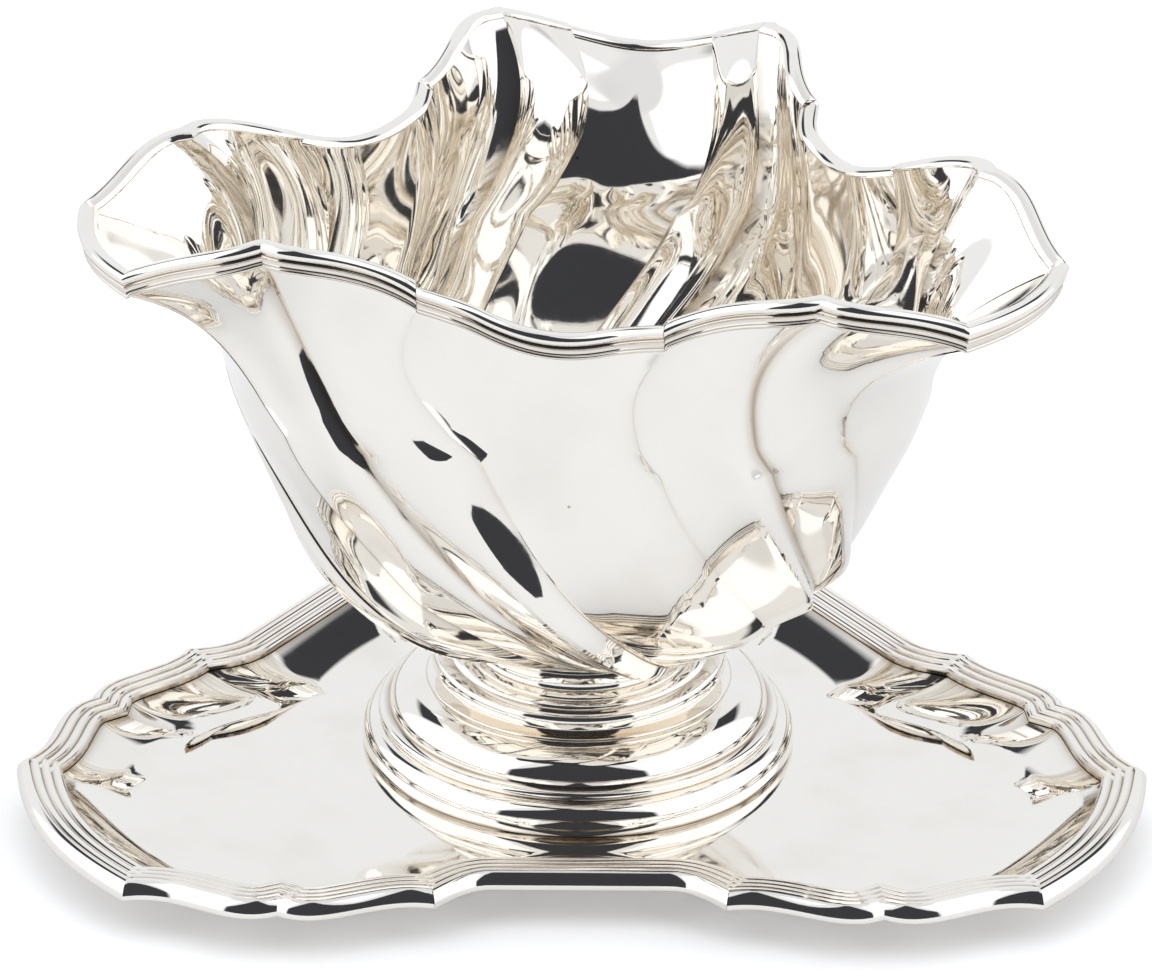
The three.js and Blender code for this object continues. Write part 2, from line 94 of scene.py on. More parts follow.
class Bend(Enum):
    """The kinds of bend that an outline is made of."""

    CORNER = "corner"
    NOTCH = "notch"
    NOSE = "nose"
    SIDE = "side"


class Start(Enum):
    """How a quarter round leaves its first point: along the radius, or along the height."""

    LEVEL = "level"
    UPRIGHT = "upright"


class TarnishAndShade(float, Enum):
    """How dark the silver is painted, from open surfaces to the foot of a groove: tarnish, and painted shade
    in grooves, creases, seams and hidden places.
    """

    OPEN = 0.0
    TRACE = 0.15
    FAINT = 0.3
    THIN = 0.35
    LIGHT = 0.4
    FAIR = 0.5
    STRONG = 0.6
    DEEP = 0.8
    FULL = 1.0


BEND_STEPS = {Bend.CORNER: 20, Bend.NOTCH: 16, Bend.NOSE: 30, Bend.SIDE: 36}


class NodeSketch:
    """Adds nodes to one node tree and joins them."""

    def __init__(self, tree: bpy.types.NodeTree) -> None:
        """Starts on a tree.

        Args:
            tree: The node tree that the nodes go into.
        """
        self.tree = tree

    def add(self, kind: str, inputs: dict[str, object] | None = None, **settings: object) -> bpy.types.Node:
        """Adds a node.

        Args:
            kind: The node's type name.
            inputs: Sockets or plain values for its inputs, by name.
            **settings: Properties of the node.

        Returns:
            The new node.
        """
        spacing = 180.0
        node = self.tree.nodes.new(kind)
        for name, value in settings.items():
            setattr(node, name, value)
        for name, value in (inputs or {}).items():
            self.feed(node.inputs[name], value)
        node.location.x = spacing * len(self.tree.nodes)
        return node

    def feed(self, socket: bpy.types.NodeSocket, value: object) -> None:
        """Joins a socket to another one, or sets its value.

        Args:
            socket: The input socket.
            value: An output socket to join, or a plain value.
        """
        if isinstance(value, bpy.types.NodeSocket):
            self.tree.links.new(value, socket)
        else:
            socket.default_value = value

    def sum(self, operation: str, *values: object) -> bpy.types.NodeSocket:
        """Works out a number from numbers.

        Args:
            operation: The Math node's operation.
            *values: Sockets or numbers.

        Returns:
            The result's socket.
        """
        node = self.add("ShaderNodeMath", operation=operation)
        for socket, value in zip(node.inputs, values):
            self.feed(socket, value)
        return node.outputs[0]

    def share(self, value: object) -> bpy.types.NodeSocket:
        """Keeps a number between 0 and 1, and returns its socket."""
        return self.sum("MINIMUM", self.sum("MAXIMUM", value, 0.0), 1.0)

    def hump(self, value: object) -> bpy.types.NodeSocket:
        """Makes half a sine wave of a number from 0 to 1, and returns its socket."""
        return self.sum("MAXIMUM", self.sum("SINE", self.sum("MULTIPLY", value, math.pi)), 0.0)

    def arrow(self, operation: str, *values: object) -> bpy.types.NodeSocket:
        """Works out a vector from vectors.

        Args:
            operation: The Vector Math node's operation.
            *values: Sockets or vectors. The last one is a number for SCALE.

        Returns:
            The result's socket.
        """
        node = self.add("ShaderNodeVectorMath", operation=operation)
        for socket, value in zip(node.inputs, values):
            self.feed(socket, value)
        if operation == "SCALE":
            self.feed(node.inputs["Scale"], values[-1])
        return node.outputs[0]

    def window(self, value: object, low: float, high: float, soft: float) -> bpy.types.NodeSocket:
        """Makes a mask that is 1 between two values, with soft flanks.

        Args:
            value: A socket or number.
            low: Where the mask starts.
            high: Where it ends.
            soft: Width of each flank.

        Returns:
            The mask's socket.
        """
        rise = self.share(self.sum("DIVIDE", self.sum("SUBTRACT", value, low), soft))
        fall = self.share(self.sum("DIVIDE", self.sum("SUBTRACT", high, value), soft))
        return self.sum("MULTIPLY", rise, fall)

    def mix(self, share: object, first: object, second: object) -> bpy.types.NodeSocket:
        """Mixes two colours.

        Args:
            share: How much of the second colour, as a socket or number.
            first: The first colour, as a socket or colour.
            second: The second colour, as a socket or colour.

        Returns:
            The mixed colour's socket.
        """
        factor, first_colour, second_colour, mixed = 0, 6, 7, 2
        node = self.add("ShaderNodeMix", data_type="RGBA")
        self.feed(node.inputs[factor], share)
        self.feed(node.inputs[first_colour], first)
        self.feed(node.inputs[second_colour], second)
        return node.outputs[mixed]


def new_sockets(tree: bpy.types.NodeTree, in_out: str, sockets: dict[str, str]) -> None:
    """Gives a node tree its named inputs or outputs.

    Args:
        tree: The node tree.
        in_out: INPUT or OUTPUT.
        sockets: Socket types by name.
    """
    for name, kind in sockets.items():
        tree.interface.new_socket(name=name, in_out=in_out, socket_type=kind)


def geometry_tree(name: str, inputs: dict[str, str]) -> tuple[NodeSketch, bpy.types.Node]:
    """Starts a Geometry Nodes tree.

    Args:
        name: The tree's name.
        inputs: Socket types by name, after the geometry itself.

    Returns:
        The sketch of the tree, and its input node.
    """
    tree = bpy.data.node_groups.new(name, "GeometryNodeTree")
    new_sockets(tree, "INPUT", {"Geometry": "NodeSocketGeometry", **inputs})
    new_sockets(tree, "OUTPUT", {"Geometry": "NodeSocketGeometry"})
    sketch = NodeSketch(tree)
    return sketch, sketch.add("NodeGroupInput")


def end_tree(sketch: NodeSketch, shape: bpy.types.NodeSocket, finish: bpy.types.NodeSocket) -> None:
    """Ends a Geometry Nodes tree: a real mesh, smooth, in its finish.

    Args:
        sketch: The sketch of the tree.
        shape: The geometry so far.
        finish: The material input.
    """
    for kind in ("GeometryNodeSetShadeSmooth", "GeometryNodeRealizeInstances"):
        shape = sketch.add(kind, {"Geometry": shape}).outputs["Geometry"]
    dressed = sketch.add("GeometryNodeSetMaterial", {"Geometry": shape, "Material": finish})
    sketch.add("NodeGroupOutput", {"Geometry": dressed.outputs["Geometry"]})


def named_value(sketch: NodeSketch, name: str, kind: str) -> bpy.types.NodeSocket:
    """Reads an attribute of the geometry.

    Args:
        sketch: The sketch of the tree.
        name: The attribute's name.
        kind: FLOAT or FLOAT_VECTOR.

    Returns:
        The attribute's socket.
    """
    node = sketch.add("GeometryNodeInputNamedAttribute", {"Name": name}, data_type=kind)
    return node.outputs["Attribute"]


def moulding_tree() -> bpy.types.NodeTree:
    """Makes the tree that sweeps a moulding's section along its stations.

    Each station has its place, the direction across the moulding, and how full the section is
    there. The section's points hold out, up and the tarnish and painted shade of their place.

    Returns:
        The node tree.
    """
    inputs = {
        "Section": "NodeSocketObject",
        "Stations": "NodeSocketInt",
        "Section Points": "NodeSocketInt",
        "Core": "NodeSocketVector",
        "Finish": "NodeSocketMaterial",
    }
    sketch, given = geometry_tree("moulding", inputs)
    section_points = given.outputs["Section Points"]
    section = sketch.add("GeometryNodeObjectInfo", {"Object": given.outputs["Section"]})
    counts = {"Vertices X": given.outputs["Stations"], "Vertices Y": section_points}
    grid = sketch.add("GeometryNodeMeshGrid", counts)
    index = sketch.add("GeometryNodeInputIndex").outputs[0]
    half = 0.5
    station = sketch.sum("FLOOR", sketch.sum("DIVIDE", sketch.sum("ADD", index, half), section_points))
    point = sketch.sum("MODULO", index, section_points)

    def sampled(
        shape: bpy.types.NodeSocket, value: bpy.types.NodeSocket, at: bpy.types.NodeSocket, kind: str
    ) -> bpy.types.NodeSocket:
        """Reads a value at an index of another geometry, and returns its socket."""
        asked = {"Geometry": shape, "Value": value, "Index": at}
        return sketch.add("GeometryNodeSampleIndex", asked, data_type=kind).outputs["Value"]

    position = sketch.add("GeometryNodeInputPosition").outputs[0]
    path = given.outputs["Geometry"]
    profile = section.outputs["Geometry"]
    place = sampled(path, position, station, "FLOAT_VECTOR")
    across = sampled(path, named_value(sketch, "across", "FLOAT_VECTOR"), station, "FLOAT_VECTOR")
    fullness = sampled(path, named_value(sketch, "fullness", "FLOAT"), station, "FLOAT")
    corner = sampled(profile, position, point, "FLOAT_VECTOR")
    tarnish = sampled(profile, named_value(sketch, "tarnish", "FLOAT"), point, "FLOAT")
    core = given.outputs["Core"]
    spread = sketch.arrow("SCALE", sketch.arrow("SUBTRACT", corner, core), (0, 0, 0), fullness)
    parts = sketch.add("ShaderNodeSeparateXYZ", {"Vector": sketch.arrow("ADD", spread, core)})
    up = sketch.add("ShaderNodeCombineXYZ", {"Z": parts.outputs["Y"]}).outputs[0]
    out = sketch.arrow("SCALE", across, (0, 0, 0), parts.outputs["X"])
    whole = sketch.arrow("ADD", sketch.arrow("ADD", place, out), up)
    moved = {"Geometry": grid.outputs["Mesh"], "Position": whole}
    placed = sketch.add("GeometryNodeSetPosition", moved).outputs["Geometry"]
    marked = {"Name": "tarnish", "Geometry": placed, "Value": tarnish}
    stored = sketch.add("GeometryNodeStoreNamedAttribute", marked, data_type="FLOAT", domain="POINT")
    closest = 2e-6
    doubles = {"Distance": closest, "Geometry": stored.outputs["Geometry"]}
    merged = sketch.add("GeometryNodeMergeByDistance", doubles)
    end_tree(sketch, merged.outputs["Geometry"], given.outputs["Finish"])
    return sketch.tree


def flute_tree() -> bpy.types.NodeTree:
    """Makes the tree that swells the bowl's wall into panels and winds them round the bowl.

    The wall's points hold their level, their place along their panel, the panel's depth and how
    far they are wound.

    Returns:
        The node tree.
    """
    inputs = {
        "Flute Low": "NodeSocketFloat",
        "Crest": "NodeSocketFloat",
        "Crest Round": "NodeSocketFloat",
        "Finish": "NodeSocketMaterial",
    }
    sketch, given = geometry_tree("flutes", inputs)
    level = named_value(sketch, "level", "FLOAT")
    place = named_value(sketch, "place", "FLOAT")
    crest = given.outputs["Crest"]
    rising = sketch.sum("DIVIDE", place, crest)
    falling = sketch.sum("DIVIDE", sketch.sum("SUBTRACT", 1.0, place), sketch.sum("SUBTRACT", 1.0, crest))
    panel = sketch.sum("SMOOTH_MIN", rising, falling, given.outputs["Crest Round"])
    fade = sketch.hump(sketch.sum("POWER", level, given.outputs["Flute Low"]))
    bulge = named_value(sketch, "bulge", "FLOAT")
    depth = sketch.sum("MULTIPLY", sketch.sum("MULTIPLY", panel, fade), bulge)
    position = sketch.add("GeometryNodeInputPosition").outputs[0]
    flat = sketch.arrow("NORMALIZE", sketch.arrow("MULTIPLY", position, (1, 1, 0)))
    swelled = sketch.arrow("ADD", position, sketch.arrow("SCALE", flat, (0, 0, 0), depth))
    turning = {"Vector": swelled, "Angle": named_value(sketch, "turn", "FLOAT")}
    wound = sketch.add("ShaderNodeVectorRotate", turning, rotation_type="Z_AXIS")
    moved = {"Geometry": given.outputs["Geometry"], "Position": wound.outputs["Vector"]}
    placed = sketch.add("GeometryNodeSetPosition", moved)
    end_tree(sketch, placed.outputs["Geometry"], given.outputs["Finish"])
    return sketch.tree


def cavetto_tree() -> bpy.types.NodeTree:
    """Makes the tree that raises the tray's cavetto as scoops with a ridge between each two.

    Returns:
        The node tree.
    """
    inputs = {
        "Rise": "NodeSocketFloat",
        "Width": "NodeSocketFloat",
        "Ridge Share": "NodeSocketFloat",
        "Scoop Round": "NodeSocketFloat",
        "Ridge Bend": "NodeSocketFloat",
        "Scoop Bend": "NodeSocketFloat",
        "Finish": "NodeSocketMaterial",
    }
    sketch, given = geometry_tree("cavetto", inputs)
    inward = named_value(sketch, "inward", "FLOAT")
    place = named_value(sketch, "place", "FLOAT")
    scoop = sketch.sum("POWER", sketch.hump(place), given.outputs["Scoop Round"])

    def between(first: object, second: object) -> bpy.types.NodeSocket:
        """Goes from a ridge's value to a scoop's value, and returns the value's socket."""
        gap = sketch.sum("SUBTRACT", second, first)
        return sketch.sum("ADD", first, sketch.sum("MULTIPLY", gap, scoop))

    width = sketch.sum("MULTIPLY", given.outputs["Width"], between(given.outputs["Ridge Share"], 1.0))
    bend = between(given.outputs["Ridge Bend"], given.outputs["Scoop Bend"])
    run = sketch.share(sketch.sum("DIVIDE", inward, width))
    slope = sketch.sum("SUBTRACT", 1.0, sketch.sum("MULTIPLY", bend, run))
    height = sketch.sum("MULTIPLY", sketch.sum("SUBTRACT", 1.0, run), slope)
    raised = sketch.sum("MULTIPLY", height, given.outputs["Rise"])
    lift = sketch.add("ShaderNodeCombineXYZ", {"Z": raised}).outputs[0]
    moved = {"Geometry": given.outputs["Geometry"], "Offset": lift}
    placed = sketch.add("GeometryNodeSetPosition", moved)
    end_tree(sketch, placed.outputs["Geometry"], given.outputs["Finish"])
    return sketch.tree


def grown(base: bpy.types.Object, tree: bpy.types.NodeTree, values: dict[str, object]) -> bpy.types.Mesh:
    """Runs a Geometry Nodes tree on an object and keeps the result as a plain mesh.

    Args:
        base: The object that the tree starts from. It is removed.
        tree: The node tree.
        values: Values of the tree's inputs by name.

    Returns:
        The finished mesh.
    """
    modifier = base.modifiers.new(tree.name, "NODES")
    modifier.node_group = tree
    for item in tree.interface.items_tree:
        if item.item_type == "SOCKET" and item.name in values:
            modifier[item.identifier] = values[item.name]
    settled = base.evaluated_get(bpy.context.evaluated_depsgraph_get())
    mesh = bpy.data.meshes.new_from_object(settled)
    base.modifiers.remove(modifier)
    bpy.data.objects.remove(base)
    return mesh


def bare_object(
    name: str, points: np.ndarray, faces: Sequence[Sequence[int]], values: dict[str, np.ndarray]
) -> bpy.types.Object:
    """Makes an object of points and faces, with attributes on its points.

    Args:
        name: The object's name.
        points: Points in millimetres.
        faces: Point indices of each face.
        values: Numbers or vectors for each point, by attribute name.

    Returns:
        The object, linked into the scene.
    """
    mesh = bpy.data.meshes.new(name)
    mesh.from_pydata((points * MM).tolist(), [], faces)
    for key, numbers in values.items():
        kind, item = ("FLOAT_VECTOR", "vector") if numbers.ndim == 2 else ("FLOAT", "value")
        layer = mesh.attributes.new(key, kind, "POINT")
        layer.data.foreach_set(item, numbers.astype(np.float32).ravel())
    made = bpy.data.objects.new(name, mesh)
    bpy.context.scene.collection.objects.link(made)
    return made


def faces_outwards(mesh: bpy.types.Mesh) -> None:
    """Turns a closed mesh's faces outwards, if they point in.

    Args:
        mesh: A closed mesh.
    """
    mesh.calc_loop_triangles()
    corners = np.empty(len(mesh.loop_triangles) * 3, np.int32)
    mesh.loop_triangles.foreach_get("vertices", corners)
    places = np.empty(len(mesh.vertices) * 3)
    mesh.vertices.foreach_get("co", places)
    a, b, c = places.reshape(-1, 3)[corners].reshape(-1, 3, 3).transpose(1, 0, 2)
    if np.einsum("ij,ij->i", a, np.cross(b, c)).sum() < 0:
        mesh.flip_normals()


def set_up_piece(name: str, mesh: bpy.types.Mesh, slot: Slot, crease: float) -> bpy.types.Object:
    """Puts a finished mesh in the place of the CAD node of the same name.

    Args:
        name: The CAD node's name.
        mesh: The mesh, in metres and in its place.
        slot: The record's material slot; not used.
        crease: Angle in degrees past which an edge stays sharp.

    Returns:
        The piece.
    """
    faces_outwards(mesh)
    mesh.set_sharp_from_angle(angle=math.radians(crease))
    piece = bpy.data.objects.new(f"{name}_look", mesh)
    bpy.context.scene.collection.objects.link(piece)
    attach(piece, "root")
    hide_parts(name)
    log.info("%s: %d faces", piece.name, len(mesh.polygons))
    return piece


def polar(radius: float, bearing: float) -> np.ndarray:
    """Returns the plan point at a radius and a bearing."""
    angle = math.radians(bearing)
    return np.array([radius * math.cos(angle), radius * math.sin(angle)])


def turned(vector: np.ndarray, angle: float) -> np.ndarray:
    """Returns a plan vector, turned counter-clockwise by an angle in degrees."""
    cos, sin = math.cos(math.radians(angle)), math.sin(math.radians(angle))
    return np.array([cos * vector[0] - sin * vector[1], sin * vector[0] + cos * vector[1]])


def bend_curve(a: np.ndarray, b: np.ndarray, leave: float, reach: float, handle: float) -> Curve:
    """Makes a border's bend from a to b.

    Args:
        a: The bend's first point.
        b: Its last point.
        leave: Angle in degrees that turns its start in (plus) or out (minus) against the chord.
        reach: The same for its end.
        handle: Length of the curve's handles, as a share of the chord.

    Returns:
        A function from places along the bend to points.
    """
    chord = b - a
    first = a + turned(chord, leave) * handle
    second = b - turned(chord, reach) * handle

    def curve(s: np.ndarray) -> np.ndarray:
        """Returns the bend's points at places from 0 to 1."""
        t = s[:, None]
        return (1 - t) ** 3 * a + 3 * (1 - t) ** 2 * t * first + 3 * (1 - t) * t**2 * second + t**3 * b

    return curve


def side_curve(a: np.ndarray, b: np.ndarray, step: float, step_length: float) -> Curve:
    """Makes the low stretch between two lobes: a step inwards at each end, level between.

    Args:
        a: The stretch's first point.
        b: Its last point.
        step: How far it steps inwards.
        step_length: Length of each step.

    Returns:
        A function from places along the stretch to points.
    """
    chord = b - a
    length = float(np.linalg.norm(chord))
    inwards = np.array([-chord[1], chord[0]]) / length

    def curve(s: np.ndarray) -> np.ndarray:
        """Returns the stretch's points at places from 0 to 1."""
        nearest = np.minimum(s, 1 - s) * length
        eased = np.sin(math.pi / 2 * np.minimum(1, nearest / step_length))
        return a + chord * s[:, None] + inwards * (step * eased)[:, None]

    return curve


@dataclass(frozen=True)
class Stations:
    """Stations along an outline, in millimetres.

    bend is the number of each station's bend in its lobe, place its place along that bend, and
    aside its distance from the nearest cusp.
    """

    point: np.ndarray
    height: np.ndarray
    normal: np.ndarray
    mitre: np.ndarray
    bend: np.ndarray
    place: np.ndarray
    aside: np.ndarray

    def across(self, out: float | np.ndarray, up: float | np.ndarray) -> np.ndarray:
        """Returns the points that lie out across the outline and up from its height."""
        plan = self.point + self.normal * (self.mitre * out)[:, None]
        return np.column_stack([plan, self.height + up])

    def picked(self, indices: Sequence[int]) -> "Stations":
        """Returns some of the stations."""
        chosen = list(indices)
        return Stations(**{entry.name: getattr(self, entry.name)[chosen] for entry in fields(self)})


@dataclass(frozen=True)
class Outline:
    """A closed outline of three lobes: sizes in millimetres and degrees.

    Each half lobe has a tip, a notch and a corner, from its nose to the side.
    """

    tip_radius: float
    tip_angle: float
    tip_height: float
    tip_dip: float
    notch_radius: float
    notch_angle: float
    notch_heights: tuple[tuple[float, float], ...]
    corner_radius: float
    corner_angle: float
    corner_heights: tuple[tuple[float, float], ...]
    side_heights: tuple[float, ...]
    side_step: float
    turn: float
    arch: float = 0.0
    nose_rises: tuple[float, ...] = (0.0, 0.0, 0.0)
    lobe_turns: tuple[float, ...] = (0.0, 0.0, 0.0)
    lobe_reach: tuple[float, ...] = (0.0, 0.0, 0.0)
    side_step_length: float = 9.0
    notch_swell: float = 34.0
    corner_dip: float = 22.0
    nose_swell: float = 18.0
    bend_handle: float = 0.38

    def bends(self, lobe: int) -> list[tuple[Bend, Curve, float, float, float]]:
        """Lays out one lobe and the side after it.

        Args:
            lobe: The lobe's number.

        Returns:
            Kind, curve, first height, last height and rise of each bend.
        """
        after = (lobe + 1) % len(LOBE_BEARINGS)
        axis = LOBE_BEARINGS[lobe] + self.turn + self.lobe_turns[lobe]
        next_axis = LOBE_BEARINGS[after] + self.turn + self.lobe_turns[after]

        def pair(
            radius: float, angle: float, heights: tuple[float, float]
        ) -> list[tuple[np.ndarray, float]]:
            """Returns the two places at an angle from the lobe's axis, each a point and its height."""
            return [(polar(radius, axis + way * angle), high) for way, high in zip((-1, 1), heights)]

        def bend(
            kind: Bend,
            a: tuple[np.ndarray, float],
            b: tuple[np.ndarray, float],
            turns: tuple[float, float],
            rise: float,
        ) -> tuple[Bend, Curve, float, float, float]:
            """Returns the bend from place a to place b."""
            return kind, bend_curve(a[0], b[0], *turns, self.bend_handle), a[1], b[1], rise

        tip_radius = self.tip_radius + self.lobe_reach[lobe]
        tips = pair(tip_radius, self.tip_angle, (self.tip_height, self.tip_height))
        notches = pair(self.notch_radius, self.notch_angle, self.notch_heights[lobe])
        corners = pair(self.corner_radius, self.corner_angle, self.corner_heights[lobe])
        corner, low = corners[1]
        next_corner = polar(self.corner_radius, next_axis - self.corner_angle)
        next_low = self.corner_heights[after][0]
        side = side_curve(corner, next_corner, self.side_step, self.side_step_length)
        side_rise = self.side_heights[lobe] - (low + next_low) / 2
        swell, dip, arch = self.notch_swell, self.corner_dip, self.arch
        return [
            bend(Bend.CORNER, corners[0], notches[0], (dip, swell), arch),
            bend(Bend.NOTCH, notches[0], tips[0], (-swell, -self.tip_dip), arch / 2),
            bend(Bend.NOSE, *tips, (-self.nose_swell, self.nose_swell), self.nose_rises[lobe]),
            bend(Bend.NOTCH, tips[1], notches[1], (self.tip_dip, swell), arch / 2),
            bend(Bend.CORNER, notches[1], corners[1], (-swell, -dip), arch),
            (Bend.SIDE, side, low, next_low, side_rise),
        ]

    def stations(self) -> Stations:
        """Walks the whole outline counter-clockwise from the left lobe's first corner.

        Returns:
            The stations, close together near the cusps.
        """
        reach, samples = 0.002, 60
        names = ("point", "height", "first", "last", "bend", "place", "aside")
        rows: dict[str, list[np.ndarray]] = {name: [] for name in names}
        for lobe in range(len(LOBE_BEARINGS)):
            for number, (kind, curve, low, high, rise) in enumerate(self.bends(lobe)):
                steps = np.arange(BEND_STEPS[kind]) / BEND_STEPS[kind]
                s = (steps + (1 - np.cos(math.pi * steps)) / 2) / 2
                ahead = curve(np.minimum(1, s + reach)) - curve(np.maximum(0, s - reach))
                end = curve(np.array([1.0])) - curve(np.array([1 - reach]))
                walked = np.diff(curve(np.linspace(0, 1, samples)), axis=0)
                length = np.linalg.norm(walked, axis=1).sum()
                rows["point"].append(curve(s))
                rows["height"].append(low + (high - low) * s + rise * np.sin(math.pi * s))
                rows["first"].append(self.outward(ahead))
                rows["last"].append(np.repeat(self.outward(end), len(s), axis=0))
                rows["bend"].append(np.full(len(s), number))
                rows["place"].append(s)
                rows["aside"].append(np.minimum(s, 1 - s) * length)
        joined = {key: np.concatenate(values) for key, values in rows.items()}
        own = joined.pop("first")
        before = np.roll(joined.pop("last"), 1, axis=0)
        other = np.where(joined["place"][:, None] == 0, before, own)
        normal = own + other
        normal /= np.linalg.norm(normal, axis=1, keepdims=True)
        sharpest_mitre = 0.5
        mitre = 1 / np.maximum(sharpest_mitre, (normal * own).sum(axis=1))
        return Stations(normal=normal, mitre=mitre, **joined)

    @staticmethod
    def outward(along: np.ndarray) -> np.ndarray:
        """Returns the outward unit normals of steps along the outline."""
        normal = np.column_stack([along[:, 1], -along[:, 0]])
        return normal / np.linalg.norm(normal, axis=1, keepdims=True)

    @staticmethod
    def lengths() -> dict[str, list[int]]:
        """Returns the station numbers of each border length, from mitre to mitre, by its name."""
        lobe_steps = 2 * BEND_STEPS[Bend.CORNER] + 2 * BEND_STEPS[Bend.NOTCH] + BEND_STEPS[Bend.NOSE]
        side_steps = BEND_STEPS[Bend.SIDE]
        total = (lobe_steps + side_steps) * len(LOBE_BEARINGS)
        found = {}
        start = 0
        for lobe_name, side_name in zip(LOBE_NAMES, SIDE_NAMES):
            for name, steps in ((lobe_name, lobe_steps), (side_name, side_steps)):
                found[name] = [(start + i) % total for i in range(steps + 1)]
                start += steps
        return found


Section = list[tuple[float, float, float]]


def arc(
    centre: tuple[float, float],
    radii: tuple[float, float],
    span: tuple[float, float],
    steps: int,
    tarnish: float = TarnishAndShade.OPEN,
) -> Section:
    """Makes an arc of a section.

    Args:
        centre: Its centre, out and up.
        radii: Its radii, out and up.
        span: First and last angle in degrees.
        steps: How many steps it has.
        tarnish: Tarnish and painted shade along it.

    Returns:
        Points of out, up and tarnish with painted shade.
    """
    angles = np.radians(np.linspace(span[0], span[1], steps + 1))
    return [(centre[0] + radii[0] * math.cos(a), centre[1] + radii[1] * math.sin(a), tarnish) for a in angles]


def soft_curve(
    handles: Sequence[tuple[float, float]], steps: int, tarnish: float = TarnishAndShade.OPEN
) -> Section:
    """Makes a cubic curve of a section.

    Args:
        handles: Its four control points, out and up.
        steps: How many steps it has.
        tarnish: Tarnish and painted shade along it.

    Returns:
        Points of out, up and tarnish with painted shade.
    """
    a, b, c, d = (np.array(handle) for handle in handles)
    points = []
    for t in np.linspace(0, 1, steps + 1):
        x, y = (1 - t) ** 3 * a + 3 * (1 - t) ** 2 * t * b + 3 * (1 - t) * t**2 * c + t**3 * d
        points.append((float(x), float(y), tarnish))
    return points


def quarter_round(a: Sequence[float], b: Sequence[float], start: Start, steps: int = 12) -> Section:
    """Makes a quarter round of a turned profile from a to b, without a.

    Args:
        a: First point, radius and height.
        b: Last point.
        start: How it leaves a.
        steps: How many steps it has.

    Returns:
        Points of radius, height and tarnish with painted shade.
    """
    points = []
    for i in range(1, steps + 1):
        turn = math.pi / 2 * i / steps
        shares = (math.sin(turn), 1 - math.cos(turn))
        radial, axial = shares if start is Start.LEVEL else shares[::-1]
        points.append((a[0] + (b[0] - a[0]) * radial, a[1] + (b[1] - a[1]) * axial, TarnishAndShade.OPEN))
    return points


def reeds(
    start: tuple[float, float], end: tuple[float, float], count: int, height: float, gap: float
) -> Section:
    """Makes half-round reeds along a line, with a narrow groove before each. The groove is darkened with
    tarnish and painted shade, and painted shade falls off from it up each reed's flanks.

    Args:
        start: First point, out and up.
        end: Last point.
        count: How many reeds there are.
        height: Height of each reed.
        gap: Width of each groove.

    Returns:
        Points of out, up and tarnish with painted shade.
    """
    # Edge and floor of each groove are darkened: tarnish and painted shade.
    groove_depth, groove_edge_tarnish_and_shade = 0.35, 0.7
    reed_points, reed_power = 9, 0.7
    # Painted shade on each reed's flanks: darkest next to the grooves, none on the crest.
    reed_flank_shade, reed_flank_shade_falloff = 0.55, 3
    line = np.array(end) - np.array(start)
    length = float(np.linalg.norm(line))
    along = line / length
    upwards = np.array([along[1], -along[0]])
    if upwards[1] < 0:
        upwards = -upwards
    pitch = length / count
    points: Section = []
    for reed in range(count):
        foot = np.array(start) + along * pitch * reed
        floor = foot + along * gap / 2 - upwards * height * groove_depth
        points.append((float(foot[0]), float(foot[1]), groove_edge_tarnish_and_shade))
        points.append((float(floor[0]), float(floor[1]), TarnishAndShade.FULL))
        for share in np.linspace(0, 1, reed_points):
            rise = height * math.sin(math.pi * share) ** reed_power
            x, y = foot + along * (gap + (pitch - gap) * share) + upwards * rise
            points.append((float(x), float(y), reed_flank_shade * abs(2 * share - 1) ** reed_flank_shade_falloff))
    return points


@dataclass(frozen=True)
class Moulding:
    """A moulding that is swept along stations, or turned about the axis."""

    tree: bpy.types.NodeTree
    finish: bpy.types.Material

    def sweep(
        self, name: str, path: np.ndarray, across: np.ndarray, fullness: np.ndarray, section: Section
    ) -> bpy.types.Mesh:
        """Sweeps a section along a path.

        Args:
            name: The piece's name.
            path: The stations' places in millimetres.
            across: Direction across the moulding at each station.
            fullness: How full the section is at each station, and 0 closes an end.
            section: The section's points of out, up and tarnish with painted shade, as a closed ring.

        Returns:
            The swept mesh in metres.
        """
        ring = np.array([*section, section[0]])
        flat = np.column_stack([ring[:, :2], np.zeros(len(ring))])
        profile = bare_object(f"{name}_section", flat, [], {"tarnish": ring[:, 2]})
        base = bare_object(name, path, [], {"across": across, "fullness": fullness})
        core = Vector((*(ring[:, :2].mean(axis=0) * MM), 0.0))
        values = {
            "Section": profile,
            "Stations": len(path),
            "Section Points": len(ring),
            "Core": core,
            "Finish": self.finish,
        }
        mesh = grown(base, self.tree, values)
        bpy.data.objects.remove(profile)
        return mesh

    def length(self, name: str, stations: Stations, section: Section) -> bpy.types.Mesh:
        """Sweeps one border length with a closed, mitred end on both sides.

        Args:
            name: The piece's name.
            stations: Its stations, from mitre to mitre.
            section: The border's section.

        Returns:
            The border length in metres.
        """
        path = stations.across(0.0, 0.0)
        for end, inner in ((0, 1), (-1, -2)):
            step = path[inner] - path[end]
            path[end] += step / np.linalg.norm(step) * SEAM
        across = np.column_stack([stations.normal * stations.mitre[:, None], np.zeros(len(path))])
        rows = [0, *range(len(path)), len(path) - 1]
        fullness = np.ones(len(rows))
        fullness[[0, -1]] = 0
        return self.sweep(name, path[rows], across[rows], fullness, section)

    def ring(self, name: str, profile: Section, steps: int = 180) -> bpy.types.Mesh:
        """Turns a closed profile about the axis.

        Args:
            name: The piece's name.
            profile: Points of radius, height and tarnish with painted shade.
            steps: How many steps go round.

        Returns:
            The turned mesh in metres.
        """
        angles = np.linspace(0, 2 * math.pi, steps + 1)
        across = np.column_stack([np.cos(angles), np.sin(angles), np.zeros(steps + 1)])
        return self.sweep(name, np.zeros((steps + 1, 3)), across, np.ones(steps + 1), profile)


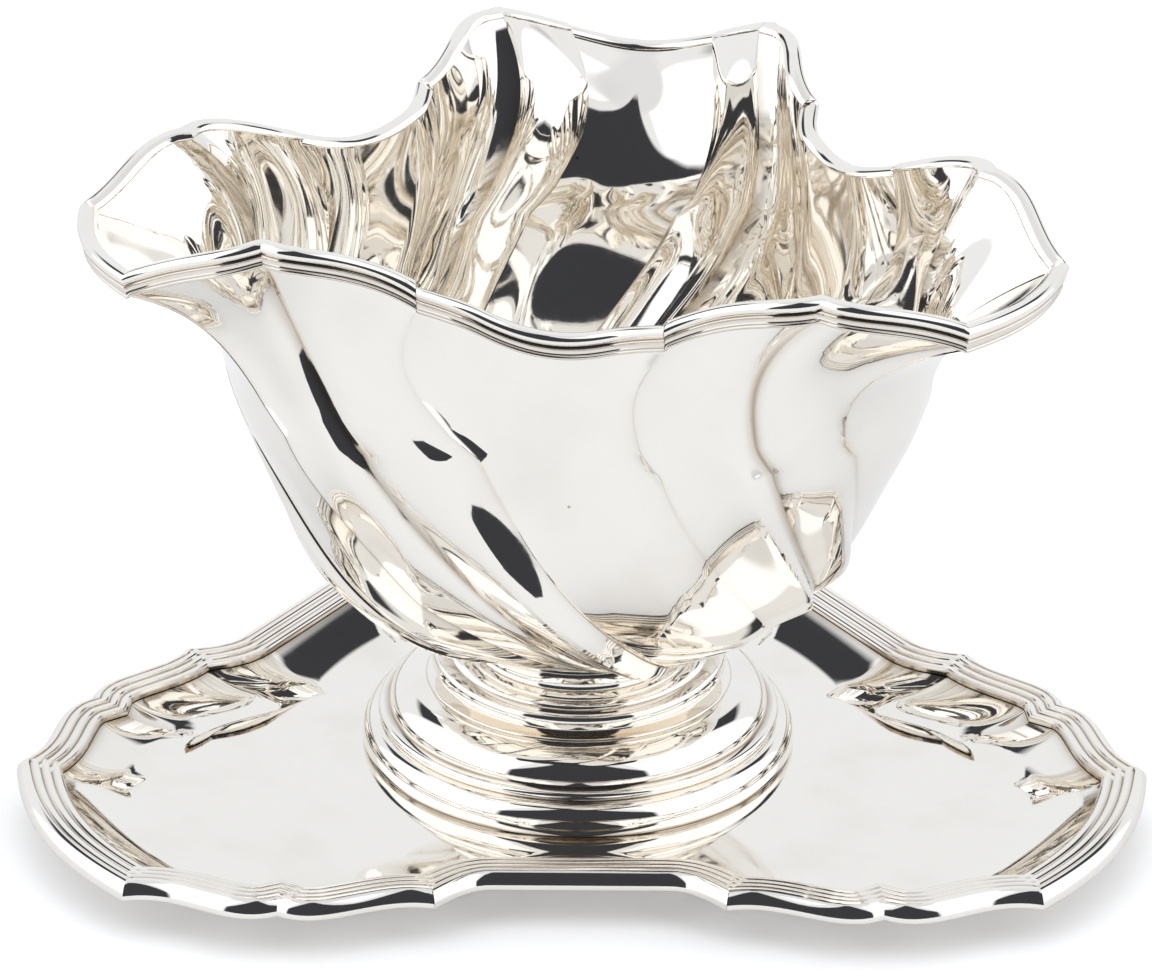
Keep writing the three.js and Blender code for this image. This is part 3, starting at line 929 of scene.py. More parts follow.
def loft(name: str, rings: Sequence[np.ndarray], values: dict[str, Sequence[np.ndarray]]) -> bpy.types.Object:
    """Makes a closed skin over rings of points. A ring of one point closes an end.

    Args:
        name: The object's name.
        rings: The rings' points in millimetres.
        values: Numbers for the points of each ring, by attribute name.

    Returns:
        The object.
    """
    starts = np.cumsum([0, *(len(ring) for ring in rings)])
    faces = []
    for i in range(len(rings) - 1):
        a, b = starts[i], starts[i + 1]
        count = max(len(rings[i]), len(rings[i + 1]))
        for k in range(count):
            n = (k + 1) % count
            if len(rings[i]) == 1:
                faces.append((a, b + n, b + k))
            elif len(rings[i + 1]) == 1:
                faces.append((a + k, a + n, b))
            else:
                faces.append((a + k, a + n, b + n, b + k))
    joined = {key: np.concatenate(list(numbers)) for key, numbers in values.items()}
    whole_faces = [tuple(map(int, face)) for face in faces]
    return bare_object(name, np.concatenate(list(rings)), whole_faces, joined)


def per_point(ring: np.ndarray, row: np.ndarray) -> np.ndarray:
    """Returns a ring's row of values, or a single 0 for a ring of one point."""
    return row if len(ring) > 1 else np.zeros(1)


def polish_group() -> bpy.types.NodeTree:
    """Makes the shader group of a hand-raised and polished surface.

    Returns:
        A group that puts out a height for bump and a mask of duller patches.
    """
    beat_detail, mark_detail = 1.0, 3.0
    dull_from, dull_to, dull_soft = 0.45, 2.0, 0.35
    tree = bpy.data.node_groups.new("hand polish", "ShaderNodeTree")
    inputs = {
        "Vector": "NodeSocketVector",
        "Beat Scale": "NodeSocketFloat",
        "Mark Scale": "NodeSocketFloat",
        "Mark Share": "NodeSocketFloat",
    }
    new_sockets(tree, "INPUT", inputs)
    new_sockets(tree, "OUTPUT", {"Height": "NodeSocketFloat", "Dullness": "NodeSocketFloat"})
    sketch = NodeSketch(tree)
    given = sketch.add("NodeGroupInput").outputs
    beats = {"Vector": given["Vector"], "Scale": given["Beat Scale"], "Detail": beat_detail}
    beat = sketch.add("ShaderNodeTexNoise", beats).outputs[0]
    scratches = {"Vector": given["Vector"], "Scale": given["Mark Scale"], "Detail": mark_detail}
    marks = sketch.add("ShaderNodeTexNoise", scratches).outputs[0]
    height = sketch.sum("ADD", beat, sketch.sum("MULTIPLY", marks, given["Mark Share"]))
    dullness = sketch.window(marks, dull_from, dull_to, dull_soft)
    sketch.add("NodeGroupOutput", {"Height": height, "Dullness": dullness})
    return tree


def tarnish_and_shade_group() -> bpy.types.NodeTree:
    """Makes the shader group of tarnish and painted shade: brown in creases and grooves, partly tarnish and
    partly painted shade, and a few dark specks.

    Returns:
        A group that puts out a colour and a mask.
    """
    patch_detail, least_patch = 4.0, 0.45
    film_from, film_to, film_soft, film_depth = 0.5, 2.0, 0.3, 0.12
    rare, speck_depth = 0.82, 0.8
    tree = bpy.data.node_groups.new("tarnish", "ShaderNodeTree")
    inputs = {
        "Vector": "NodeSocketVector",
        "Crease": "NodeSocketFloat",
        "Bright": "NodeSocketColor",
        "Brown": "NodeSocketColor",
        "Patch Scale": "NodeSocketFloat",
        "Speck Scale": "NodeSocketFloat",
        "Speck Size": "NodeSocketFloat",
    }
    new_sockets(tree, "INPUT", inputs)
    new_sockets(tree, "OUTPUT", {"Color": "NodeSocketColor", "Mask": "NodeSocketFloat"})
    sketch = NodeSketch(tree)
    given = sketch.add("NodeGroupInput").outputs
    cloud = {"Vector": given["Vector"], "Scale": given["Patch Scale"], "Detail": patch_detail}
    patches = sketch.add("ShaderNodeTexNoise", cloud).outputs[0]
    uneven = sketch.sum("ADD", least_patch, patches)
    film = sketch.sum("MULTIPLY", sketch.window(patches, film_from, film_to, film_soft), film_depth)
    # Creases and grooves from the meshes, made uneven: tarnish and painted shade; the film patches are
    # tarnish.
    crease = sketch.share(sketch.sum("ADD", film, sketch.sum("MULTIPLY", given["Crease"], uneven)))
    dots = {"Vector": given["Vector"], "Scale": given["Speck Scale"]}
    specks = sketch.add("ShaderNodeTexVoronoi", dots)
    near = sketch.sum("LESS_THAN", specks.outputs["Distance"], given["Speck Size"])
    chosen = sketch.add("ShaderNodeSeparateColor", {"Color": specks.outputs["Color"]}).outputs[0]
    speck = sketch.sum("MULTIPLY", near, sketch.sum("GREATER_THAN", chosen, rare))
    mask = sketch.share(sketch.sum("ADD", crease, sketch.sum("MULTIPLY", speck, speck_depth)))
    colour = sketch.mix(mask, given["Bright"], given["Brown"])
    sketch.add("NodeGroupOutput", {"Color": colour, "Mask": mask})
    return tree


@dataclass(frozen=True)
class SilverFinish:
    """A polished silver finish. Scales are patterns per metre, and heights are in metres."""

    name: str
    bright: tuple[float, float, float] = (0.95, 0.917, 0.862)
    # Brown of tarnish, also painted into creases, grooves and seams as shade.
    brown: tuple[float, float, float] = (0.46, 0.38, 0.29)
    gloss: float = 0.035
    dull: float = 0.09
    beat_scale: float = 38.0
    beat_height: float = 0.00006
    mark_scale: float = 900.0
    mark_share: float = 0.01
    patch_scale: float = 55.0
    speck_scale: float = 90.0
    speck_size: float = 0.03
    dull_share: float = 0.35

    def material(self, polish: bpy.types.NodeTree, tarnish: bpy.types.NodeTree) -> bpy.types.Material:
        """Makes the material.

        Args:
            polish: The shader group of the hand polish.
            tarnish: The shader group of the tarnish and painted shade.

        Returns:
            The material.
        """
        made = bpy.data.materials.new(self.name)
        made.use_nodes = True
        sketch = NodeSketch(made.node_tree)
        shader = made.node_tree.nodes["Principled BSDF"]
        place = sketch.add("ShaderNodeTexCoord").outputs["Object"]
        # Tarnish and painted shade that the meshes hold at each point.
        crease = sketch.add("ShaderNodeAttribute", attribute_name="tarnish").outputs["Fac"]
        beats = {
            "Vector": place,
            "Beat Scale": self.beat_scale,
            "Mark Scale": self.mark_scale,
            "Mark Share": self.mark_share,
        }
        beaten = sketch.add("ShaderNodeGroup", node_tree=polish)
        stains = {
            "Vector": place,
            "Crease": crease,
            "Bright": (*self.bright, 1.0),
            "Brown": (*self.brown, 1.0),
            "Patch Scale": self.patch_scale,
            "Speck Scale": self.speck_scale,
            "Speck Size": self.speck_size,
        }
        aged = sketch.add("ShaderNodeGroup", node_tree=tarnish)
        for node, values in ((beaten, beats), (aged, stains)):
            for name, value in values.items():
                sketch.feed(node.inputs[name], value)
        dents = {"Distance": self.beat_height, "Height": beaten.outputs["Height"]}
        bump = sketch.add("ShaderNodeBump", dents)
        patchy = sketch.sum("MULTIPLY", beaten.outputs["Dullness"], self.dull_share)
        duller = sketch.share(sketch.sum("ADD", aged.outputs["Mask"], patchy))
        rough = sketch.sum("ADD", self.gloss, sketch.sum("MULTIPLY", duller, self.dull))
        sketch.feed(shader.inputs["Metallic"], 1.0)
        sketch.feed(shader.inputs["Base Color"], aged.outputs["Color"])
        sketch.feed(shader.inputs["Roughness"], rough)
        sketch.feed(shader.inputs["Normal"], bump.outputs["Normal"])
        return made


@dataclass(frozen=True)
class Workshop:
    """What every piece is made with: the trees and the finishes."""

    polish: bpy.types.NodeTree = field(default_factory=polish_group)
    tarnish: bpy.types.NodeTree = field(default_factory=tarnish_and_shade_group)
    moulding: bpy.types.NodeTree = field(default_factory=moulding_tree)
    flutes: bpy.types.NodeTree = field(default_factory=flute_tree)
    cavetto: bpy.types.NodeTree = field(default_factory=cavetto_tree)

    def dressed(self, finish: SilverFinish) -> bpy.types.Material:
        """Returns the material of a finish."""
        return finish.material(self.polish, self.tarnish)


@dataclass(frozen=True)
class Lean:
    """How the boat leans to the front, about the crown of the foot."""

    angle: float = 4.2
    pivot_height: float = CROWN_HEIGHT

    def matrix(self) -> Matrix:
        """Returns the lean as a matrix in metres."""
        up = Matrix.Translation((0, 0, self.pivot_height * MM))
        return up @ Matrix.Rotation(math.radians(self.angle), 4, "X") @ up.inverted()


class Border(ABC):
    """A border that is soldered together from six lengths, with a mitre at each meeting."""

    owner: ClassVar[str]

    @abstractmethod
    def section(self) -> Section:
        """Returns the border's section, from its back round its foot, face and top."""

    def build(self, stations: Stations, moulding: Moulding, lean: Lean | None = None) -> None:
        """Builds the six border lengths.

        Args:
            stations: Stations of the outline that the border follows.
            moulding: What sweeps the border.
            lean: How the border leans, if it does.
        """
        sharpest_smooth = 30.0
        for name, indices in Outline.lengths().items():
            node = f"{self.owner}_border_{name}"
            mesh = moulding.length(node, stations.picked(indices), self.section())
            if lean:
                mesh.transform(lean.matrix())
            set_up_piece(node, mesh, Slot.BORDER, sharpest_smooth)


@dataclass(frozen=True)
class BowlBorder(Border):
    """The bowl's border: a reeded face outside the sheet and a roll over its edge.

    Places in its section are written out from the outline and up from its height.
    """

    owner: ClassVar[str] = "bowl"
    depth: float = 3.4
    overhang: float = 1.6
    inner: float = -3.35
    crest: float = -1.15
    roll_height: float = 1.05
    foot_reed: tuple[float, float] = (-1.0, -3.02)
    foot_reed_radii: tuple[float, float] = (0.34, 0.36)
    lower_groove: tuple[float, float] = (-0.86, -2.56)
    face: tuple[tuple[float, float], ...] = ((-0.78, -2.5), (-0.98, -2.0), (-0.8, -1.5), (-0.4, -1.36))
    fillet: tuple[float, float] = (-0.3, -1.27)
    fillet_top: tuple[float, float] = (-0.36, -1.15)
    upper_groove: tuple[float, float] = (-0.56, -1.02)
    roll_drop: float = 0.3
    inner_edge: tuple[float, float] = (-3.29, -0.42)
    inner_foot: tuple[float, float] = (-3.15, -0.45)
    inner_seat: tuple[float, float] = (-3.0, 0.0)

    def section(self) -> Section:
        """Returns the border's section, from its back round its foot, face and top."""
        back = -self.overhang
        inner_radii = (self.crest - self.inner, self.roll_height + self.roll_drop)
        # Third numbers darken the silver: tarnish and painted shade in the grooves, on the back, the foot and
        # the seat.
        return [
            (back, -self.depth, TarnishAndShade.FULL),
            (self.foot_reed[0], -self.depth, TarnishAndShade.DEEP),
            *arc(self.foot_reed, self.foot_reed_radii, (-80, 70), steps=6, tarnish=TarnishAndShade.THIN),
            (*self.lower_groove, TarnishAndShade.FULL),
            *soft_curve(self.face, steps=8, tarnish=TarnishAndShade.FAINT),
            (*self.fillet, TarnishAndShade.TRACE),
            (*self.fillet_top, TarnishAndShade.LIGHT),
            (*self.upper_groove, TarnishAndShade.FULL),
            *arc((self.crest, 0.0), (-self.crest, self.roll_height), (-48, 90), steps=18),
            *arc((self.crest, -self.roll_drop), inner_radii, (98, 180), steps=14),
            (*self.inner_edge, TarnishAndShade.FAINT),
            (*self.inner_foot, TarnishAndShade.STRONG),
            (*self.inner_seat, TarnishAndShade.FULL),
            (back, 0.0, TarnishAndShade.FULL),
        ]


@dataclass(frozen=True)
class BowlWall:
    """The bowl's one raised sheet: a round bowl that flares into lobes, with twisted flutes.

    Its levels run from 0 at the seat on the neck to 1 at the border. Between the lobes the round
    bowl is drawn in, by the low draw's share below the draw's start and fully above its end. At
    the lobes it flares out above the flare's start. The flutes are wound by the twist below the
    straight level, and their depths are those of a lobe's five bends and the side after them.
    """

    body_radius: float = 60.6
    body_depth: float = 55.5
    fullness: float = 2.3
    taper: float = 3.4
    taper_rise: float = 1.25
    round_reach: float = 5.0
    low_draw: float = 0.62
    draw_start: float = 48.0
    draw_end: float = 80.0
    flare_start: float = 44.0
    nose_flare: float = 6.5
    cusp_flare: float = 1.6
    form_width: float = 10.0
    flare_blend: float = 4.0
    seat_radius: float = 21.2
    seat_height: float = NECK_TOP + SOLDER_GAP
    waist_level: float = 0.6
    wall: float = 1.0
    border: BowlBorder = BowlBorder()
    inner_rim: tuple[float, float] = (-3.2, -0.5)
    flute_depths: tuple[float, ...] = (3.0, 2.6, 1.2, 1.1, 4.6, 1.3)
    flute_low: float = 0.4
    crest: float = 0.71
    crest_round: float = 0.8
    twist: float = 65.0
    twist_ease: float = 1.25
    counter_turn: float = 3.2
    straight_level: float = 0.68
    spreads: tuple[float, ...] = (-5.5, -6.1, -3.7, 3.7, 6.1, 5.5, -5.5)
    spread_reach: float = 0.5
    rings: int = 84
    floor_dish: float = 0.35
    floor_rings: tuple[float, ...] = (0.8, 0.6, 0.4, 0.2, 0.0)

    @property
    def waist_height(self) -> float:
        """Height of the round bowl's waist."""
        share = (self.seat_radius / self.body_radius) ** self.fullness
        return self.seat_height + self.body_depth * (1 - share) ** (1 / self.fullness)

    def skin(self, level: float, inset: float) -> tuple[float, float]:
        """Returns radius and height of the round bowl at a level, inset from its outside."""
        power = 2 / self.fullness
        radius = self.body_radius - inset
        seat = math.asin(((self.seat_radius - inset) / radius) ** (1 / power))
        turn = seat + (math.pi / 2 - seat) * min(1.0, level / self.waist_level)
        height = self.waist_height - (self.body_depth - inset) * max(0.0, math.cos(turn)) ** power
        return radius * math.sin(turn) ** power, height

    def turn(self, stations: Stations, level: float) -> np.ndarray:
        """Works out how far the flutes are wound at a level.

        Args:
            stations: Stations of the bowl's outline.
            level: The level.

        Returns:
            The turn of each station in degrees.
        """
        wound = self.twist * max(0.0, 1 - level / self.straight_level) ** self.twist_ease
        above = min(1.0, max(0.0, (level - self.straight_level) / (1 - self.straight_level)))
        low = min(1.0, (1 - level) / self.spread_reach)
        spreads = np.array(self.spreads)
        first, last = spreads[stations.bend], spreads[stations.bend + 1]
        spread = first + (last - first) * stations.place
        return wound - self.counter_turn * math.sin(math.pi * above) + spread * low * low * (3 - 2 * low)

    def form(self, rim: np.ndarray, bearings: np.ndarray) -> np.ndarray:
        """Works out the rim's radius without its cusps, at given bearings.

        Args:
            rim: The wall's points at the rim.
            bearings: Bearings in degrees.

        Returns:
            The radii in millimetres.
        """
        degrees = np.arange(360.0)
        own = np.degrees(np.arctan2(rim[:, 1], rim[:, 0])) % 360
        order = np.argsort(own)
        around = np.interp(degrees, own[order], np.hypot(rim[:, 0], rim[:, 1])[order], period=360)
        gap = (degrees + 180) % 360 - 180
        weight = np.exp(-((gap / self.form_width) ** 2) / 2)
        smooth = np.fft.irfft(np.fft.rfft(around) * np.fft.rfft(weight / weight.sum()), len(degrees))
        return np.interp(bearings % 360, degrees, smooth, period=360)

    def ring(self, stations: Stations, level: float, inset: float) -> np.ndarray:
        """Makes one ring of the wall, before it is fluted and wound.

        The lobes keep their bearing on every level, so the reach is the one at the place that a
        point is wound to.

        Args:
            stations: Stations of the bowl's outline.
            level: The level.
            inset: How far the ring lies inside the bowl's outside.

        Returns:
            The ring's points in millimetres.
        """
        radius, height = self.skin(level, inset)
        rise = max(0.0, (level - self.waist_level) / (1 - self.waist_level))
        outer_rim = (-self.border.overhang - SOLDER_GAP, -self.border.depth)
        rim = stations.across(*(self.inner_rim if inset else outer_rim))
        heights = height + (rim[:, 2] - self.waist_height) * rise
        own = np.degrees(np.arctan2(rim[:, 1], rim[:, 0]))
        body = self.body_radius - inset
        seat = self.seat_radius - inset
        reach = self.form(rim, own + self.turn(stations, level)) - body
        cusp = np.hypot(rim[:, 0], rim[:, 1]) - self.form(rim, own)
        blend = np.hypot(reach, self.flare_blend)
        drawn, flared = (reach - blend) / 2, (reach + blend) / 2
        lift = np.clip((heights - self.seat_height) / (self.waist_height - self.seat_height), 0, 1)
        climb = np.clip((heights - self.flare_start) / (rim[:, 2] - self.flare_start), 0, 1)
        waisted = np.sin(math.pi * lift**self.taper_rise) ** 2
        taper = self.taper * waisted * np.clip(1 + drawn / self.round_reach, 0, 1)
        share = (radius - seat) / (body - seat)
        gathered = np.clip((heights - self.draw_start) / (self.draw_end - self.draw_start), 0, 1)
        share *= self.low_draw + (1 - self.low_draw) * gathered * gathered * (3 - 2 * gathered)
        radii = radius + drawn * share - taper
        radii = radii + flared * climb**self.nose_flare + cusp * climb**self.cusp_flare
        bearing = np.radians(own)
        return np.column_stack([radii * np.cos(bearing), radii * np.sin(bearing), heights])

    def build(
        self, stations: Stations, shop: Workshop, finish: bpy.types.Material, lean: Lean
    ) -> bpy.types.Object:
        """Builds the bowl's body.

        Args:
            stations: Stations of the bowl's outline.
            shop: The trees.
            finish: The bowl's material.
            lean: How the boat leans.

        Returns:
            The bowl's body.
        """
        levels = np.linspace(0, 1, self.rings)
        rings = [self.ring(stations, level, 0.0) for level in levels]
        ring_levels = list(levels)
        for inset in (0.0, self.wall):
            rings.append(stations.across(-self.border.overhang - SOLDER_GAP - inset, -SOLDER_GAP))
            ring_levels.append(1.0)
        rings += [self.ring(stations, level, self.wall) for level in levels[::-1]]
        ring_levels += list(levels[::-1])
        floor = rings[-1]
        for share in self.floor_rings:
            drop = np.array([0, 0, self.floor_dish * (1 - share**2)])
            dish = floor * np.array([share, share, 1]) - drop
            rings.append(dish if share else dish[:1])
            ring_levels.append(0.0)
        rings.insert(0, np.array([[0.0, 0.0, rings[0][0, 2]]]))
        ring_levels.insert(0, 0.0)
        layers = list(zip(rings, ring_levels))
        bulges = np.array(self.flute_depths)[stations.bend] * MM
        values = {
            "place": [per_point(ring, stations.place) for ring in rings],
            "bulge": [per_point(ring, bulges) for ring in rings],
            "turn": [per_point(ring, np.radians(self.turn(stations, level))) for ring, level in layers],
            "level": [np.full(len(ring), level) for ring, level in layers],
            "tarnish": [per_point(ring, self.crease(stations, ring, level)) for ring, level in layers],
        }
        inputs = {
            "Flute Low": self.flute_low,
            "Crest": self.crest,
            "Crest Round": self.crest_round,
            "Finish": finish,
        }
        mesh = grown(loft("bowl_body", rings, values), shop.flutes, inputs)
        mesh.transform(lean.matrix())
        sharpest_smooth = 16.0
        return set_up_piece("bowl_body", mesh, Slot.BRIGHT, sharpest_smooth)

    @staticmethod
    def crease(stations: Stations, ring: np.ndarray, level: float) -> np.ndarray:
        """Returns the tarnish and painted shade along the creases at a ring, most in the middle of the wall.
        """
        reach, deepest, fade = 0.5, 0.8, 0.5
        around = np.hypot(ring[:, 0], ring[:, 1]) / np.hypot(stations.point[:, 0], stations.point[:, 1])
        return np.exp(-stations.aside * around / reach) * deepest * math.sin(math.pi * level) ** fade


@dataclass(frozen=True)
class TrayBorder(Border):
    """The tray's border: a slanted outer roll and three reeds that fall inwards over the sheet.

    Places in its section are written out from the outline and up from its height.
    """

    owner: ClassVar[str] = "tray"
    edge: float = 3.1
    overhang: float = 1.4
    width: float = 8.0
    fall: float = 1.1
    seat: float = 2.0
    foot_round: float = 0.3
    margin: float = 0.1
    roll_width: float = 2.3
    roll_foot: tuple[float, float] = (-0.15, -1.6)
    roll_top: tuple[float, float] = (-1.0, -0.1)
    reed_count: int = 3
    reed_height: float = 0.32
    reed_gap: float = 0.24
    inner_edge: float = 0.25

    def section(self) -> Section:
        """Returns the border's section, from its back round its foot, face and top."""
        foot = self.foot_round
        inner = -self.width
        roll = [(-self.margin, foot - self.edge), self.roll_foot, self.roll_top, (-self.roll_width, 0.0)]
        reeds_start = (-self.roll_width - self.margin, -self.margin)
        reeds_end = (inner + self.inner_edge, -self.fall - self.margin)
        # Third numbers darken the silver: tarnish and painted shade on the back, the inner edge and the seat.
        return [
            (-self.overhang, -self.edge, TarnishAndShade.FULL),
            *arc((-foot - self.margin, foot - self.edge), (foot, foot), (-90, -10), steps=4),
            *soft_curve(roll, steps=18),
            *reeds(reeds_start, reeds_end, self.reed_count, self.reed_height, self.reed_gap),
            (inner, -self.fall - self.inner_edge, TarnishAndShade.STRONG),
            (inner, -self.seat, TarnishAndShade.FULL),
            (-self.overhang, -self.seat, TarnishAndShade.FULL),
        ]


@dataclass(frozen=True)
class Tray:
    """The tray's one raised sheet: a flat well, a cavetto of scoops and a level flange.

    Its rings are numbered by how far they lie inwards of the border's inner edge. The well's rings
    are shares of the last of these, down to the middle.
    """

    sheet: float = TRAY_SHEET
    border: TrayBorder = TrayBorder()
    flange: float = 8.0
    flat_reach: float = 7.0
    cavetto_width: float = 15.0
    radial_share: float = 0.55
    ridge_share: float = 0.72
    scoop_round: float = 0.6
    ridge_bend: float = 0.15
    scoop_bend: float = 0.8
    ring_step: float = 0.7
    well_rings: tuple[float, ...] = (0.75, 0.5, 0.25, 0.0)
    well_step: float = 1.0

    def ring(self, stations: Stations, inward: float) -> np.ndarray:
        """Returns the sheet's upper points inwards of the border, before the cavetto is raised."""
        square = stations.across(-self.border.width - inward, 0.0)[:, :2]
        length = np.hypot(stations.point[:, 0], stations.point[:, 1])
        radial = stations.point * ((length - self.border.width - inward) / length)[:, None]
        share = min(1.0, max(0.0, inward / (self.radial_share * self.cavetto_width)))
        plan = square * (1 - share) + radial * share
        return np.column_stack([plan, np.full(len(plan), self.sheet)])

    def build(self, stations: Stations, shop: Workshop, finish: bpy.types.Material) -> bpy.types.Object:
        """Builds the tray's sheet.

        Args:
            stations: Stations of the tray's outline.
            shop: The trees.
            finish: The tray's material.

        Returns:
            The tray's sheet.
        """
        outermost = self.border.overhang + SOLDER_GAP - self.border.width
        well_edge = self.cavetto_width + self.flat_reach + self.ring_step
        inwards = [outermost, outermost / 2, -self.ring_step, *np.arange(0.0, well_edge, self.ring_step)]
        tops = [self.ring(stations, inward) for inward in inwards]
        well = tops[-1]
        for share in self.well_rings:
            ring = well * np.array([share, share, 1])
            tops.append(ring if share else ring[:1])
            inwards.append(inwards[-1] + self.well_step)
        unders = [ring - np.array([0, 0, self.sheet]) for ring in tops]
        layers = [*zip(tops[::-1], inwards[::-1]), *zip(unders, inwards)]
        rings = [ring for ring, _ in layers]
        values = {
            "inward": [np.full(len(ring), inward * MM) for ring, inward in layers],
            "place": [per_point(ring, stations.place) for ring in rings],
            "tarnish": [per_point(ring, self.crease(stations, inward)) for ring, inward in layers],
        }
        inputs = {
            "Rise": (self.flange - self.sheet) * MM,
            "Width": self.cavetto_width * MM,
            "Ridge Share": self.ridge_share,
            "Scoop Round": self.scoop_round,
            "Ridge Bend": self.ridge_bend,
            "Scoop Bend": self.scoop_bend,
            "Finish": finish,
        }
        mesh = grown(loft("tray_body", rings, values), shop.cavetto, inputs)
        sharpest_smooth = 18.0
        return set_up_piece("tray_body", mesh, Slot.BRIGHT, sharpest_smooth)

    def crease(self, stations: Stations, inward: float) -> np.ndarray:
        """Returns the tarnish and painted shade of a ring: under the border, and along the ridges."""
        reach, under_border_tarnish_and_shade, ridge_tarnish_and_shade = 0.6, 0.7, 0.5
        under_border = math.exp(-max(0.0, inward) / reach)
        ridge = np.exp(-stations.aside / reach) * max(0.0, 1 - inward / self.cavetto_width)
        return np.minimum(1, under_border * under_border_tarnish_and_shade + ridge * ridge_tarnish_and_shade)


@dataclass(frozen=True)
class Foot:
    """The foot's two hollow tiers."""

    lower_radius: float = 40.8
    lower_top: float = 6.6
    toe: float = 0.5
    lap: float = 3.7
    shoulder: float = 0.2
    wall: float = 1.2
    upper_radius: float = 37.7
    bead: float = 1.8
    dome_inset: float = 2.1
    dome_top: float = CROWN_HEIGHT
    dome_steps: int = 20
    crown_radius: float = 28.5
    crown_edge: float = 0.35
    crown_edge_steps: int = 4
    bore: float = 14.7

    def lower_profile(self) -> Section:
        """Returns the profile of the lower tier's swelling ring."""
        base = TRAY_SHEET + SEAM
        swell = (self.lower_radius, base + 2 * self.toe)
        lip = self.upper_radius - self.lap
        inner_top = (self.upper_radius - self.wall, self.lower_top - self.wall)
        inner_swell = (self.lower_radius - self.wall, base)
        # Third numbers darken the silver: tarnish and painted shade where the tier meets the tray and under
        # the upper tier.
        return [
            (self.lower_radius - self.toe, base, TarnishAndShade.FULL),
            (*swell, TarnishAndShade.OPEN),
            *quarter_round(swell, (self.upper_radius + self.shoulder, self.lower_top), Start.UPRIGHT),
            (lip, self.lower_top, TarnishAndShade.STRONG),
            (lip, self.lower_top - self.wall, TarnishAndShade.STRONG),
            (*inner_top, TarnishAndShade.OPEN),
            *quarter_round(inner_top, inner_swell, Start.LEVEL),
        ]

    def upper_profile(self) -> Section:
        """Returns the profile of the upper tier: a bead, a dome and a level crown."""
        base = self.lower_top + SEAM
        middle = self.bead / 2
        bead_foot = (self.upper_radius - middle, base)
        bead = (self.upper_radius, base + middle)
        bead_top = (self.upper_radius - middle, base + self.bead)
        foot = (self.upper_radius - self.dome_inset, base + self.bead)
        inside = self.upper_radius - self.dome_inset - self.wall
        ceiling = (self.crown_radius - self.wall, self.dome_top - self.wall)
        shoulder = (self.crown_radius + self.crown_edge, self.dome_top - self.crown_edge)
        edge = (self.crown_radius, self.dome_top - self.crown_edge)
        crown = (self.crown_radius - self.crown_edge, self.dome_top)
        # Third numbers darken the silver: tarnish and painted shade at the bead's foot, the dome's foot, the
        # crown's edge and the bore.
        return [
            (*bead_foot, TarnishAndShade.STRONG),
            *quarter_round(bead_foot, bead, Start.LEVEL),
            *quarter_round(bead, bead_top, Start.UPRIGHT),
            (*foot, TarnishAndShade.DEEP),
            *quarter_round(foot, shoulder, Start.UPRIGHT, self.dome_steps),
            (*edge, TarnishAndShade.FAIR),
            *quarter_round(edge, crown, Start.UPRIGHT, self.crown_edge_steps),
            (self.bore, self.dome_top, TarnishAndShade.FAINT),
            (self.bore, self.dome_top - self.wall, TarnishAndShade.FAINT),
            (*ceiling, TarnishAndShade.OPEN),
            *quarter_round(ceiling, (inside, base + self.bead), Start.LEVEL),
            (inside, base, TarnishAndShade.OPEN),
        ]

    def build(self, moulding: Moulding) -> None:
        """Builds both tiers.

        Args:
            moulding: What turns them.
        """
        sharpest_smooth = 32.0
        profiles = {"lower_foot_tier": self.lower_profile(), "upper_foot_tier": self.upper_profile()}
        for name, profile in profiles.items():
            set_up_piece(name, moulding.ring(name, profile), Slot.BRIGHT, sharpest_smooth)


